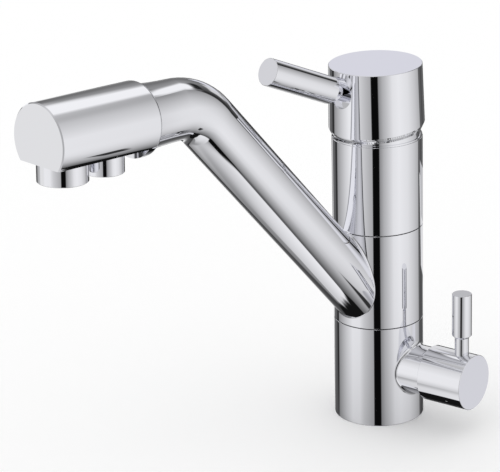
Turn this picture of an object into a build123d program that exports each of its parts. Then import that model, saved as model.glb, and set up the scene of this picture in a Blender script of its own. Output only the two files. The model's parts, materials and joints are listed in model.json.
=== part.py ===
from build123d import *
import os
from math import cos, radians, sin, sqrt, tan

# A three way kitchen tap: hot and cold water through a single lever mixer, and
# filtered water through its own quarter turn valve and its own way in the spout.
# Millimetres, +Z up, origin at the centre of the base on the worktop. The spout
# points along -Y at rest, and the filter valve stands out on the +X side.

os.makedirs("parts", exist_ok=True)

# Column: base, swivelling collar and upper body, one above the other.
body_radius = 25.0
base_height = 57.7
seam_gap = 0.3             # running gap under and over the swivelling collar
collar_height = 54.1
upper_height = 50.5
edge_break = 0.3           # small chamfer on every polished edge
fit_gap = 0.05             # radial room between pieces that push or screw together
run_gap = 0.05             # radial room where one piece turns in another

# Core column that carries the collar and holds the upper body.
column_wall = 4.0          # of the base, collar and upper body
socket_depth = 12.5        # how far the core sits down in the base
slip_ring_thickness = 1.6
slip_ring_width = 2.4
slip_ring_air = 0.15
o_ring_section = 1.65
o_ring_groove_depth = 1.7
o_ring_groove_width = 2.4
o_ring_rises = (12.0, 27.6, 49.0)    # above the collar's lower end

# Waterways.
hose_thread_radius = 4.5   # tapped hole for an M10 x 1 hose tail
hose_thread_depth = 12.0
waterway_radius = 3.25
supply_circle_radius = 12.0
supply_angle = 55.0        # hot and cold stand this far either side of the X axis
filter_inlet_offset = 5.0
stud_radius = 3.4          # tapped hole for the M8 mounting stud
stud_depth = 14.0
stud_offset = 17.0
mixed_way_radius = 4.0
mixed_way_offset = 11.0
mixed_port_rise = 38.0     # above the collar's lower end
mixed_groove_height = 15.0
mixed_port_radius = 5.0
annulus_depth = 3.0
filter_port_rise = 22.0    # above the collar's lower end
filter_groove_height = 7.0
filter_riser_radius = 2.0
filter_riser_inset = 0.6   # from the valve's seat outwards

# Base gasket.
gasket_inset = 2.5         # from the column's outside
gasket_width = 1.9
gasket_depth = 2.0

# Cartridge with its two ceramic discs.
pivot_drop = 2.9           # pivot below the upper body's top
pivot_rise = 9.18          # pivot above the carrier's underside
cartridge_radius = 17.4
cartridge_wall = 1.4
cartridge_base_thickness = 4.0
disc_thickness = 5.0
disc_room = 0.4            # round the fixed disc
moving_disc_radius = 12.8
disc_film = 0.02           # film of grease between sliding ceramic faces
driver_height = 8.6
carrier_flange_height = 3.0
carrier_lift = 0.2         # air over the driver and round the carrier's flange
carrier_radius = 10.9
carrier_top_rise = 5.5     # above the pivot
housing_shoulder_rise = 1.38    # above the carrier's underside
housing_neck_height = 5.4
housing_neck_radius = 14.2
stem_side = 8.0
stem_slot_inset = 2.4      # ends of the slot from the carrier's outside
stem_arm = 10.0
stem_arm_radius = 1.8
stem_ball_radius = 2.5
stem_socket_depth = 12.0
stem_pin_radius = 1.5
stem_pin_inset = 1.4
stem_air = 0.15            # beside the stem in its slot
stem_heel = 4.5            # below the pivot
lift_range = 20.0
port_seal_section = 1.2
disc_port_lip = 0.5
mixing_pocket_radius = 7.0
ball_room = 0.2

# Nut and dome over the cartridge.
nut_height = 5.6
nut_slots = 4
nut_slot_width = 4.0
nut_slot_depth = 6.0
dome_inset = 0.9           # the dome is a ball round the pivot, inside the column's outside
dome_top_angle = 22.96     # of the ball, above the pivot's level
dome_opening_radius = 13.0
dome_foot_height = 0.9
dome_nut_gap = 0.1
dome_inner_radius = 18.4
dome_roof = 2.6

# Lever cap and rod, drawn in a frame that is turned and tipped a little.
lever_turn = -4.7
lever_tip = 1.15
cap_top = 43.7             # above the pivot
cap_top_radius = 25.6
cap_flare = 0.022
cap_rim = 6.6              # rim height above the pivot, on the lever's axis
rim_slope = 3.9
cap_dome_gap = 0.2         # between the dome and the inside of the rim
cap_chamfer_height = 3.1
cap_chamfer_width = 1.6
cap_wall = 3.2
cap_inner_step = 12.0      # above the pivot
cap_roof = 4.6
boss_radius = 11.0
boss_bottom = 17.0
rod_root = 20.4            # where the rod's line meets the axis, above the pivot
rod_rise = 24.7
rod_radius = 7.5
rod_reach = 81.8
rod_shoulder = 36.0
rod_neck_start = 29.8
rod_neck_radius = 4.0
spot_face_reach = 22.0
spot_face_room = 0.6       # round the rod
lug_wall = 1.5
rod_tail_radius = 3.0
rod_tail_length = 9.0
lever_screw_radius = 2.5
lever_screw_length = 8.0
lever_screw_height = 23.0

# Spout.
spout_reach = 233.8        # from the column's axis to the head's front face
spout_foot_rise = 0.8      # where the tube's line meets the column's axis, above the collar's lower end
head_rise = 1.9
head_length = 63.7
head_radius = 19.4
head_wall = 3.0
head_front_chamfer = 0.6
head_inner_fillet = 2.0
head_flat_drop = 12.2
head_flat_length = 57.5
tube_slope = 48.15
tube_radius = 16.0
tube_root_radius = 17.3
tube_wall = 2.2
tube_spigot = 6.0
bend_radius = 30.7
tube_straight = 22.6

# Outlets under the head.
aerator_offset = 14.7
aerator_radius = 13.0
aerator_drop = 10.4
nozzle_offset = 41.2
nozzle_radius = 10.2
nozzle_drop = 11.2
outlet_shoulder = 1.6      # from an outlet's outside in to its spigot
outlet_wall = 2.2
spigot_length = 3.9
insert_recess = 0.6
insert_plate = 2.0
insert_rim = 6.0
jet_radius = 0.75
washer_thickness = 1.5
washer_ledge = 1.4
jet_pitch = 2.3
aerator_jet_rings = 3
nozzle_jet_rings = 2

# Filtered water tube inside the spout.
filter_tube_radius = 3.0
filter_tube_wall = 1.0
filter_tube_start = 0.5    # clear of the core inside the collar's wall
filter_tube_lead = 6.0
filter_tube_elbow_depth = 5.0    # inside the corner of the spout's line
filter_tube_height = 4.0    # above the head's axis
filter_tube_seat = 0.9
filter_tube_bends = (9.0, 22.0, 9.0)

# Filter valve on the side of the base.
valve_height = 30.7
valve_turn = 9.8
neck_radius = 13.7
neck_reach = 35.6
knob_gap = 0.3
knob_length = 27.5
knob_radius = 15.5
knob_wall = 3.1
knob_web = 15.2
valve_bore_radius = 10.0
valve_bore_start = 16.0
seat_radius = 4.0
seat_seal_thickness = 1.5
valve_disc_inset = 2.2     # from the valve's bore
valve_disc_thickness = 3.0
headwork_reach = 43.0
headwork_nose_inset = 1.6
headwork_relief = 0.8
headwork_relief_length = 6.5
disc_fit = 0.25
valve_port_radius = 1.8
spindle_ring_section = 1.2
spline_air = 0.2
spindle_flange_thickness = 2.5
spindle_radius = 4.4
spline_radius = 3.9
spline_length = 10.0
pin_inset = 8.0            # from the knob's end
pin_radius = 5.45
pin_top = 50.7             # above the valve's axis
pin_shoulder = 26.6
pin_neck_radius = 3.9
pin_chamfer = 1.5
pin_seat = 14.4
pin_tail_radius = 2.5
pin_tail_floor = 2.6       # above the spline
knob_screw_radius = 2.0
knob_screw_length = 6.0
knob_screw_inset = 2.6     # from the spline's end

# Heights that follow from the sizes above.
collar_bottom = base_height + seam_gap
collar_top = collar_bottom + collar_height
upper_bottom = collar_top + seam_gap
upper_top = upper_bottom + upper_height
core_bottom = base_height - socket_depth
core_radius = body_radius - column_wall
o_ring_heights = [collar_bottom + rise for rise in o_ring_rises]
mixed_port_height = collar_bottom + mixed_port_rise
mixed_groove_bottom = mixed_port_height - mixed_groove_height / 2
filter_port_height = collar_bottom + filter_port_rise
filter_groove_bottom = filter_port_height - filter_groove_height / 2
filter_riser_offset = valve_bore_start + filter_riser_inset
gasket_outer_radius = body_radius - gasket_inset
gasket_inner_radius = gasket_outer_radius - gasket_width

# The cartridge hangs from the pivot, and the pivot from the upper body's top.
pivot_height = upper_top - pivot_drop
flange_bottom = pivot_height - pivot_rise
driver_top = flange_bottom - carrier_lift
driver_bottom = driver_top - driver_height
moving_disc_bottom = driver_bottom - disc_thickness
fixed_disc_bottom = moving_disc_bottom - disc_film - disc_thickness
cartridge_seat_height = fixed_disc_bottom - cartridge_base_thickness
carrier_top_height = pivot_height + carrier_top_rise
housing_shoulder_height = flange_bottom + housing_shoulder_rise
housing_top_height = housing_shoulder_height + housing_neck_height
fixed_disc_radius = cartridge_radius - cartridge_wall - disc_room
carrier_flange_radius = housing_neck_radius - cartridge_wall - carrier_lift
dome_radius = body_radius - dome_inset
dome_foot_radius = body_radius - edge_break
dome_top_height = pivot_height + dome_radius * sin(radians(dome_top_angle))
dome_spigot = upper_top - housing_shoulder_height - nut_height - dome_nut_gap
stem_top = boss_bottom + stem_socket_depth
cap_rim_radius = dome_radius + cap_dome_gap
cap_inner_radius = cap_top_radius - cap_wall
spot_face_radius = rod_radius + spot_face_room
lug_radius = spot_face_radius + lug_wall

# Outlets and valve.
aerator_spigot_radius = aerator_radius - outlet_shoulder
aerator_bore_radius = aerator_radius - outlet_wall
nozzle_spigot_radius = nozzle_radius - outlet_shoulder
nozzle_bore_radius = nozzle_radius - outlet_wall
valve_disc_radius = valve_bore_radius - valve_disc_inset
headwork_nose_radius = valve_bore_radius - headwork_nose_inset
headwork_bottom = valve_bore_start + seat_seal_thickness
turning_disc_bottom = headwork_bottom + valve_disc_thickness + disc_film
spindle_bottom = turning_disc_bottom + valve_disc_thickness
spindle_shoulder = spindle_bottom + spindle_flange_thickness
spline_start = headwork_reach + spline_air
spline_end = spline_start + spline_length
knob_start = neck_reach + knob_gap
knob_cavity_radius = knob_radius - knob_wall
knob_screw_offset = spline_end - knob_screw_inset
pin_offset = knob_start + knob_length - pin_inset
pin_tail_bottom = spline_radius + pin_tail_floor
supply_places = [
    (supply_circle_radius * cos(radians(angle)), supply_circle_radius * sin(radians(angle)))
    for angle in (supply_angle, 180 - supply_angle)
]
riser_place = (
    filter_riser_offset * cos(radians(valve_turn)),
    filter_riser_offset * sin(radians(valve_turn)),
)

# The valve's own frame: local Z runs outwards along its axis, local X is up.
valve_out = Vector(cos(radians(valve_turn)), sin(radians(valve_turn)), 0)
valve_frame = Plane(origin=(0, 0, valve_height), x_dir=(0, 0, 1), z_dir=valve_out)

# The lever's frame: origin at the pivot, local -Y towards the rod.
lever_right = Vector(cos(radians(lever_turn)), sin(radians(lever_turn)), 0)
lever_front = Vector(sin(radians(lever_turn)), -cos(radians(lever_turn)), 0)
lever_up = lever_front * sin(radians(lever_tip)) + Vector(0, 0, cos(radians(lever_tip)))
lever_frame = Plane(origin=(0, 0, pivot_height), x_dir=lever_right, z_dir=lever_up)
lever_side = Plane(origin=lever_frame.origin, x_dir=lever_right, z_dir=lever_frame.y_dir * -1)
carrier_frame = Plane(origin=(0, 0, pivot_height), x_dir=lever_right, z_dir=(0, 0, 1))

# The spout's line: up the slope from the column to a corner, then out along the head.
head_out = Vector(0, -cos(radians(head_rise)), sin(radians(head_rise)))
head_down = Vector(0, -sin(radians(head_rise)), -cos(radians(head_rise)))
tube_up = Vector(0, -cos(radians(tube_slope)), sin(radians(tube_slope)))
bend_turn = tube_slope - head_rise
bend_tangent = bend_radius * tan(radians(bend_turn / 2))
corner_reach = spout_reach - (head_length + tube_straight + bend_tangent) * cos(radians(head_rise))
spout_foot = Vector(0, 0, collar_bottom + spout_foot_rise)
spout_corner = spout_foot + tube_up * (corner_reach / cos(radians(tube_slope)))
bend_start = spout_corner + head_out * bend_tangent
head_back = bend_start + head_out * tube_straight
head_front = head_back + head_out * head_length
bend_centre = bend_start + head_down * bend_radius
bend_end = bend_centre + Vector(0, sin(radians(tube_slope)), cos(radians(tube_slope))) * bend_radius
tube_length = -bend_end.Y / cos(radians(tube_slope))


def across(direction, origin):
    """A plane square to a direction in the spout's middle plane, with local X sideways."""
    return Plane(origin=origin, x_dir=(1, 0, 0), z_dir=direction)


def from_side(point):
    """A point or direction of the spout's middle plane, as drawn on Plane.YZ."""
    return (point.Y, point.Z)


# Base ------------------------------------------------------------------------

with BuildPart() as base_gasket:
    with BuildSketch():
        Circle(gasket_outer_radius)
        Circle(gasket_inner_radius, mode=Mode.SUBTRACT)
    extrude(amount=gasket_depth)
base_gasket.part.label = "base_gasket"
export_step(base_gasket.part, "parts/base_gasket.step")

with BuildPart() as base_body:
    with BuildSketch():
        Circle(body_radius)
    extrude(amount=base_height)
    chamfer(base_body.edges().filter_by(GeomType.CIRCLE), edge_break)
    with BuildSketch(valve_frame):
        Circle(neck_radius)
    extrude(amount=neck_reach)
    chamfer(base_body.edges().group_by(Axis((0, 0, 0), valve_out))[-1], edge_break)
    # Socket for the core, recess for the slip ring and groove for the gasket.
    with BuildSketch(Plane.XY.offset(core_bottom)):
        Circle(core_radius + fit_gap)
    extrude(amount=socket_depth, mode=Mode.SUBTRACT)
    with BuildSketch(Plane.XY.offset(base_height + slip_ring_air - slip_ring_thickness)):
        Circle(core_radius + fit_gap + slip_ring_width)
    extrude(amount=slip_ring_thickness, mode=Mode.SUBTRACT)
    with BuildSketch():
        Circle(gasket_outer_radius + fit_gap)
        Circle(gasket_inner_radius - fit_gap, mode=Mode.SUBTRACT)
    extrude(amount=gasket_depth, mode=Mode.SUBTRACT)
    # Hot and cold inlets, and the filtered inlet that ends under the valve's seat.
    with BuildSketch():
        with Locations(*supply_places, (0, -filter_inlet_offset)):
            Circle(hose_thread_radius)
    extrude(amount=hose_thread_depth, mode=Mode.SUBTRACT)
    with BuildSketch():
        with Locations(*supply_places):
            Circle(waterway_radius)
    extrude(amount=core_bottom, mode=Mode.SUBTRACT)
    with BuildSketch():
        with Locations((0, -filter_inlet_offset)):
            Circle(waterway_radius)
    extrude(amount=valve_height, mode=Mode.SUBTRACT)
    with BuildSketch():
        with Locations((0, -stud_offset)):
            Circle(stud_radius)
    extrude(amount=stud_depth, mode=Mode.SUBTRACT)
    # The valve's chamber, its seat, and the riser to the core.
    with BuildSketch(valve_frame.offset(valve_bore_start)):
        Circle(valve_bore_radius + fit_gap)
    extrude(amount=neck_reach - valve_bore_start, mode=Mode.SUBTRACT)
    with BuildSketch(valve_frame):
        Circle(seat_radius)
    extrude(amount=valve_bore_start, mode=Mode.SUBTRACT)
    with BuildSketch(Plane.XY.offset(valve_height)):
        with Locations(riser_place):
            Circle(filter_riser_radius)
    extrude(amount=core_bottom - valve_height, mode=Mode.SUBTRACT)
base_body.part.label = "base_body"
export_step(base_body.part, "parts/base_body.step")

with BuildPart() as manifold_core:
    with BuildSketch(Plane.XY.offset(core_bottom)):
        Circle(core_radius)
    extrude(amount=cartridge_seat_height - core_bottom)
    # Hot and cold ways run the whole height.
    with BuildSketch(Plane.XY.offset(core_bottom)):
        with Locations(*supply_places):
            Circle(waterway_radius)
    extrude(amount=cartridge_seat_height - core_bottom, mode=Mode.SUBTRACT)
    # Mixed water comes down behind the collar and leaves through a ring groove.
    with BuildSketch(Plane.XY.offset(mixed_port_height)):
        with Locations((0, -mixed_way_offset)):
            Circle(mixed_way_radius)
    extrude(amount=cartridge_seat_height - mixed_port_height, mode=Mode.SUBTRACT)
    with BuildSketch(Plane.XZ.offset(mixed_way_offset)):
        with Locations((0, mixed_port_height)):
            Circle(mixed_way_radius)
    extrude(amount=core_radius - mixed_way_offset, mode=Mode.SUBTRACT)
    with BuildSketch(Plane.XY.offset(mixed_groove_bottom)):
        Circle(core_radius)
        Circle(core_radius - annulus_depth, mode=Mode.SUBTRACT)
    extrude(amount=mixed_groove_height, mode=Mode.SUBTRACT)
    # Filtered water rises to the lower ring groove.
    with BuildSketch(Plane.XY.offset(core_bottom)):
        with Locations(riser_place):
            Circle(filter_riser_radius)
    extrude(amount=filter_port_height - core_bottom, mode=Mode.SUBTRACT)
    with BuildSketch(Plane.XY.offset(filter_groove_bottom)):
        Circle(core_radius)
        Circle(core_radius - annulus_depth, mode=Mode.SUBTRACT)
    extrude(amount=filter_groove_height, mode=Mode.SUBTRACT)
    for height in o_ring_heights:
        with BuildSketch(Plane.XY.offset(height - o_ring_groove_width / 2)):
            Circle(core_radius)
            Circle(core_radius - o_ring_groove_depth, mode=Mode.SUBTRACT)
        extrude(amount=o_ring_groove_width, mode=Mode.SUBTRACT)
manifold_core.part.label = "manifold_core"
export_step(manifold_core.part, "parts/manifold_core.step")

with BuildPart() as collar_o_rings:
    for height in o_ring_heights:
        with BuildSketch(Plane.XZ):
            with Locations((core_radius - o_ring_section / 2, height)):
                Circle(o_ring_section / 2)
        revolve(axis=Axis.Z)
collar_o_rings.part.label = "collar_o_rings"
export_step(collar_o_rings.part, "parts/collar_o_rings.step")

with BuildPart() as lower_slip_ring:
    with BuildSketch(Plane.XY.offset(base_height + slip_ring_air - slip_ring_thickness)):
        Circle(core_radius + slip_ring_width)
        Circle(core_radius + fit_gap, mode=Mode.SUBTRACT)
    extrude(amount=slip_ring_thickness)
lower_slip_ring.part.label = "lower_slip_ring"
export_step(lower_slip_ring.part, "parts/lower_slip_ring.step")

with BuildPart() as upper_slip_ring:
    with BuildSketch(Plane.XY.offset(upper_bottom - slip_ring_air)):
        Circle(core_radius + slip_ring_width)
        Circle(core_radius + fit_gap, mode=Mode.SUBTRACT)
    extrude(amount=slip_ring_thickness)
upper_slip_ring.part.label = "upper_slip_ring"
export_step(upper_slip_ring.part, "parts/upper_slip_ring.step")

# Upper body ------------------------------------------------------------------

with BuildPart() as upper_body:
    with BuildSketch(Plane.XY.offset(upper_bottom)):
        Circle(body_radius)
    extrude(amount=upper_height)
    chamfer(upper_body.edges().filter_by(GeomType.CIRCLE), edge_break)
    with BuildSketch(Plane.XY.offset(upper_bottom)):
        Circle(core_radius + fit_gap)
    extrude(amount=upper_height, mode=Mode.SUBTRACT)
    with BuildSketch(Plane.XY.offset(upper_bottom)):
        Circle(core_radius + fit_gap + slip_ring_width)
    extrude(amount=slip_ring_thickness - slip_ring_air, mode=Mode.SUBTRACT)
upper_body.part.label = "upper_body"
export_step(upper_body.part, "parts/upper_body.step")

# Cartridge, from its base plate upwards --------------------------------------

ball_offset = stem_arm * sin(radians(lift_range / 2))
ball_height = pivot_height - stem_arm * cos(radians(lift_range / 2))
ball_place = lever_front * -ball_offset

with BuildPart() as cartridge_base:
    with BuildSketch(Plane.XY.offset(cartridge_seat_height)):
        Circle(cartridge_radius)
    extrude(amount=cartridge_base_thickness)
    with BuildSketch(Plane.XY.offset(cartridge_seat_height)):
        with Locations(*supply_places):
            Circle(waterway_radius)
        with Locations((0, -mixed_way_offset)):
            Circle(mixed_way_radius)
    extrude(amount=cartridge_base_thickness, mode=Mode.SUBTRACT)
    with BuildSketch(Plane.XY.offset(cartridge_seat_height)):
        with Locations(*supply_places):
            Circle(waterway_radius + port_seal_section + fit_gap)
        with Locations((0, -mixed_way_offset)):
            Circle(mixed_way_radius + port_seal_section + fit_gap)
    extrude(amount=port_seal_section, mode=Mode.SUBTRACT)
cartridge_base.part.label = "cartridge_base"
export_step(cartridge_base.part, "parts/cartridge_base.step")

with BuildPart() as cartridge_seals:
    with BuildSketch(Plane.XY.offset(cartridge_seat_height)):
        with Locations(*supply_places):
            Circle(waterway_radius + port_seal_section)
            Circle(waterway_radius, mode=Mode.SUBTRACT)
        with Locations((0, -mixed_way_offset)):
            Circle(mixed_way_radius + port_seal_section)
            Circle(mixed_way_radius, mode=Mode.SUBTRACT)
    extrude(amount=port_seal_section)
cartridge_seals.part.label = "cartridge_seals"
export_step(cartridge_seals.part, "parts/cartridge_seals.step")

with BuildPart() as fixed_disc:
    with BuildSketch(Plane.XY.offset(fixed_disc_bottom)):
        Circle(fixed_disc_radius)
        with Locations(*supply_places):
            Circle(waterway_radius - disc_port_lip, mode=Mode.SUBTRACT)
        with Locations((0, -mixed_way_offset)):
            Circle(mixed_way_radius - disc_port_lip, mode=Mode.SUBTRACT)
    extrude(amount=disc_thickness)
fixed_disc.part.label = "fixed_disc"
export_step(fixed_disc.part, "parts/fixed_disc.step")

with BuildPart() as moving_disc:
    with BuildSketch(Plane.XY.offset(moving_disc_bottom)):
        with Locations((ball_place.X, ball_place.Y)):
            Circle(moving_disc_radius)
    extrude(amount=disc_thickness)
    # Mixing pocket in the underside.
    with BuildSketch(Plane.XY.offset(moving_disc_bottom)):
        with Locations((ball_place.X, ball_place.Y)):
            Circle(mixing_pocket_radius)
    extrude(amount=disc_thickness / 2, mode=Mode.SUBTRACT)
moving_disc.part.label = "moving_disc"
export_step(moving_disc.part, "parts/moving_disc.step")

with BuildPart() as disc_driver:
    with BuildSketch(Plane.XY.offset(driver_bottom)):
        with Locations((ball_place.X, ball_place.Y)):
            Circle(moving_disc_radius)
    extrude(amount=driver_height)
    # Blind pocket for the stem's ball.
    with BuildSketch(Plane.XY.offset(ball_height - stem_ball_radius - ball_room)):
        with Locations((ball_place.X, ball_place.Y)):
            Circle(stem_ball_radius + ball_room)
    extrude(amount=driver_top - ball_height + stem_ball_radius + ball_room, mode=Mode.SUBTRACT)
disc_driver.part.label = "disc_driver"
export_step(disc_driver.part, "parts/disc_driver.step")

with BuildPart() as cartridge_housing:
    with BuildSketch(Plane.XY.offset(fixed_disc_bottom)):
        Circle(cartridge_radius)
    extrude(amount=housing_shoulder_height - fixed_disc_bottom)
    with BuildSketch(Plane.XY.offset(housing_shoulder_height)):
        Circle(housing_neck_radius)
    extrude(amount=housing_top_height - housing_shoulder_height)
    with BuildSketch(Plane.XY.offset(fixed_disc_bottom)):
        Circle(cartridge_radius - cartridge_wall)
    extrude(amount=flange_bottom - fixed_disc_bottom, mode=Mode.SUBTRACT)
    with BuildSketch(Plane.XY.offset(flange_bottom)):
        Circle(housing_neck_radius - cartridge_wall)
    extrude(amount=carrier_flange_height + carrier_lift, mode=Mode.SUBTRACT)
    with BuildSketch(Plane.XY.offset(flange_bottom)):
        Circle(carrier_radius + run_gap)
    extrude(amount=housing_top_height - flange_bottom, mode=Mode.SUBTRACT)
cartridge_housing.part.label = "cartridge_housing"
export_step(cartridge_housing.part, "parts/cartridge_housing.step")

# The part of the cartridge that turns and tips with the lever -----------------

with BuildPart() as stem_carrier:
    with BuildSketch(Plane.XY.offset(flange_bottom)):
        Circle(carrier_flange_radius)
    extrude(amount=carrier_flange_height)
    with BuildSketch(Plane.XY.offset(flange_bottom)):
        Circle(carrier_radius)
    extrude(amount=carrier_top_height - flange_bottom)
    with BuildSketch(carrier_frame.offset(flange_bottom - pivot_height)):
        Rectangle(stem_side + 2 * stem_air, 2 * (carrier_radius - stem_slot_inset))
    extrude(amount=carrier_top_height - flange_bottom, mode=Mode.SUBTRACT)
    with BuildSketch(Plane(origin=carrier_frame.origin, x_dir=(0, 0, 1), z_dir=lever_right)):
        Circle(stem_pin_radius)
    extrude(amount=carrier_radius - stem_pin_inset, both=True, mode=Mode.SUBTRACT)
stem_carrier.part.label = "stem_carrier"
export_step(stem_carrier.part, "parts/stem_carrier.step")

with BuildPart() as stem_pin:
    with BuildSketch(Plane(origin=carrier_frame.origin, x_dir=(0, 0, 1), z_dir=lever_right)):
        Circle(stem_pin_radius)
    extrude(amount=carrier_radius - stem_pin_inset, both=True)
stem_pin.part.label = "stem_pin"
export_step(stem_pin.part, "parts/stem_pin.step")

ball_centre = Vector(ball_place.X, ball_place.Y, ball_height)
arm_down = (ball_centre - carrier_frame.origin).normalized()

with BuildPart() as lever_stem:
    with BuildSketch(lever_frame.offset(-stem_heel)):
        Rectangle(stem_side, stem_side)
    extrude(amount=stem_heel + stem_top)
    chamfer(lever_stem.faces().sort_by(Axis(lever_frame.origin, lever_up))[-1].edges(), edge_break)
    with BuildSketch(Plane(origin=carrier_frame.origin, x_dir=lever_right, z_dir=arm_down)):
        Circle(stem_arm_radius)
    extrude(amount=stem_arm)
    with Locations(ball_centre):
        Sphere(stem_ball_radius)
    with BuildSketch(Plane(origin=carrier_frame.origin, x_dir=(0, 0, 1), z_dir=lever_right)):
        Circle(stem_pin_radius + run_gap)
    extrude(amount=stem_side, both=True, mode=Mode.SUBTRACT)
lever_stem.part.label = "lever_stem"
export_step(lever_stem.part, "parts/lever_stem.step")

with BuildPart() as cartridge_nut:
    with BuildSketch(Plane.XY.offset(housing_shoulder_height)):
        Circle(core_radius)
        Circle(housing_neck_radius + fit_gap, mode=Mode.SUBTRACT)
    extrude(amount=nut_height)
    # Four slots for the pin spanner.
    with BuildSketch(Plane.XY.offset(housing_shoulder_height + nut_height / 2)):
        with PolarLocations(core_radius, nut_slots):
            Rectangle(nut_slot_depth, nut_slot_width)
    extrude(amount=nut_height / 2, mode=Mode.SUBTRACT)
cartridge_nut.part.label = "cartridge_nut"
export_step(cartridge_nut.part, "parts/cartridge_nut.step")

foot_top = upper_top + dome_foot_height
dome_foot_ball = sqrt(dome_radius**2 - (foot_top - pivot_height) ** 2)
dome_top_ball = sqrt(dome_radius**2 - (dome_top_height - pivot_height) ** 2)

with BuildPart() as dome_cover:
    with BuildSketch(Plane.XZ):
        with BuildLine():
            Polyline(
                (dome_top_ball, dome_top_height),
                (dome_opening_radius, dome_top_height),
                (dome_opening_radius, dome_top_height - dome_roof),
                (dome_inner_radius, dome_top_height - dome_roof),
                (dome_inner_radius, upper_top - dome_spigot),
                (core_radius, upper_top - dome_spigot),
                (core_radius, upper_top),
                (dome_foot_radius, upper_top),
                (dome_foot_radius, foot_top),
                (dome_foot_ball, foot_top),
            )
            RadiusArc((dome_foot_ball, foot_top), (dome_top_ball, dome_top_height), -dome_radius)
        make_face()
    revolve(axis=Axis.Z)
dome_cover.part.label = "dome_cover"
export_step(dome_cover.part, "parts/dome_cover.step")

# Lever ------------------------------------------------------------------------

lever_axis = Axis(lever_frame.origin, lever_up)
rim_plane = Plane(
    origin=lever_frame.origin + lever_up * cap_rim,
    x_dir=lever_right,
    z_dir=lever_up * cos(radians(rim_slope)) - lever_frame.y_dir * sin(radians(rim_slope)),
)
rod_out = lever_frame.y_dir * -cos(radians(rod_rise)) + lever_up * sin(radians(rod_rise))
rod_frame = Plane(origin=lever_frame.origin + lever_up * rod_root, x_dir=lever_right, z_dir=rod_out)
screw_frame = Plane(
    origin=lever_frame.origin + lever_up * lever_screw_height,
    x_dir=lever_right,
    z_dir=lever_frame.y_dir,
)
cap_foot_radius = cap_top_radius + cap_flare * cap_top

# The hollow of the cap leaves a boss for the stem and a lug for the rod.
with BuildPart() as cap_hollow:
    with BuildSketch(lever_frame):
        Circle(cap_rim_radius)
    extrude(amount=cap_inner_step)
    with BuildSketch(lever_frame.offset(cap_inner_step)):
        Circle(cap_inner_radius)
    extrude(amount=cap_top - cap_roof - cap_inner_step)
    with BuildSketch(lever_frame.offset(boss_bottom)):
        Circle(boss_radius)
    extrude(amount=cap_top - boss_bottom, mode=Mode.SUBTRACT)
    with BuildSketch(rod_frame.offset(boss_radius / 2)):
        Circle(lug_radius)
    extrude(amount=cap_foot_radius, mode=Mode.SUBTRACT)

with BuildPart() as lever_cap:
    with BuildSketch(lever_side):
        Polygon(
            (0, 0),
            (cap_foot_radius, 0),
            (cap_top_radius, cap_top),
            (0, cap_top),
            align=None,
        )
    revolve(axis=lever_axis)
    chamfer(lever_cap.edges().group_by(lever_axis)[-1], edge_break)
    split(bisect_by=rim_plane, keep=Keep.TOP)
    rim_face = lever_cap.faces().sort_by(lever_axis)[0]
    chamfer(rim_face.edges(), cap_chamfer_width, cap_chamfer_height, reference=rim_face)
    add(cap_hollow.part, mode=Mode.SUBTRACT)
    # Socket for the stem.
    with BuildSketch(lever_frame.offset(boss_bottom)):
        Rectangle(stem_side + 2 * fit_gap, stem_side + 2 * fit_gap)
    extrude(amount=stem_top - boss_bottom + stem_air, mode=Mode.SUBTRACT)
    # Spot face and tapped hole for the rod.
    with BuildSketch(rod_frame.offset(spot_face_reach)):
        Circle(spot_face_radius)
    extrude(amount=cap_foot_radius, mode=Mode.SUBTRACT)
    with BuildSketch(rod_frame.offset(spot_face_reach - rod_tail_length)):
        Circle(rod_tail_radius + fit_gap)
    extrude(amount=rod_tail_length, mode=Mode.SUBTRACT)
    # Tapped hole for the grub screw, at the back.
    with BuildSketch(screw_frame):
        Circle(lever_screw_radius + fit_gap)
    extrude(amount=cap_foot_radius, mode=Mode.SUBTRACT)
lever_cap.part.label = "lever_cap"
export_step(lever_cap.part, "parts/lever_cap.step")

with BuildPart() as lever_rod:
    with BuildSketch(Plane(origin=rod_frame.origin, x_dir=rod_out, z_dir=lever_right)):
        Polygon(
            (spot_face_reach - rod_tail_length, 0),
            (spot_face_reach - rod_tail_length, rod_tail_radius),
            (spot_face_reach, rod_tail_radius),
            (spot_face_reach, rod_neck_radius),
            (rod_neck_start, rod_neck_radius),
            (rod_shoulder, rod_radius),
            (rod_reach - edge_break, rod_radius),
            (rod_reach, rod_radius - edge_break),
            (rod_reach, 0),
            align=None,
        )
    revolve(axis=Axis(rod_frame.origin, rod_out))
lever_rod.part.label = "lever_rod"
export_step(lever_rod.part, "parts/lever_rod.step")

with BuildPart() as lever_grub_screw:
    with BuildSketch(screw_frame.offset(stem_side / 2 + fit_gap)):
        Circle(lever_screw_radius)
    extrude(amount=lever_screw_length)
    with BuildSketch(screw_frame.offset(stem_side / 2 + fit_gap + lever_screw_length)):
        RegularPolygon(lever_screw_radius / 2, 6)
    extrude(amount=-lever_screw_length / 2, mode=Mode.SUBTRACT)
lever_grub_screw.part.label = "lever_grub_screw"
export_step(lever_grub_screw.part, "parts/lever_grub_screw.step")

# Spout --------------------------------------------------------------------------

with BuildPart() as swivel_collar:
    with BuildSketch(Plane.XY.offset(collar_bottom)):
        Circle(body_radius)
    extrude(amount=collar_height)
    chamfer(swivel_collar.edges().filter_by(GeomType.CIRCLE), edge_break)
    with BuildSketch(Plane.XY.offset(collar_bottom)):
        Circle(core_radius + run_gap)
    extrude(amount=collar_height, mode=Mode.SUBTRACT)
    with BuildSketch(Plane.XZ):
        with Locations((0, mixed_port_height)):
            Circle(mixed_port_radius)
        with Locations((0, filter_port_height)):
            Circle(filter_tube_radius + fit_gap)
    extrude(amount=body_radius, mode=Mode.SUBTRACT)
swivel_collar.part.label = "swivel_collar"
export_step(swivel_collar.part, "parts/swivel_collar.step")

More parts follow.
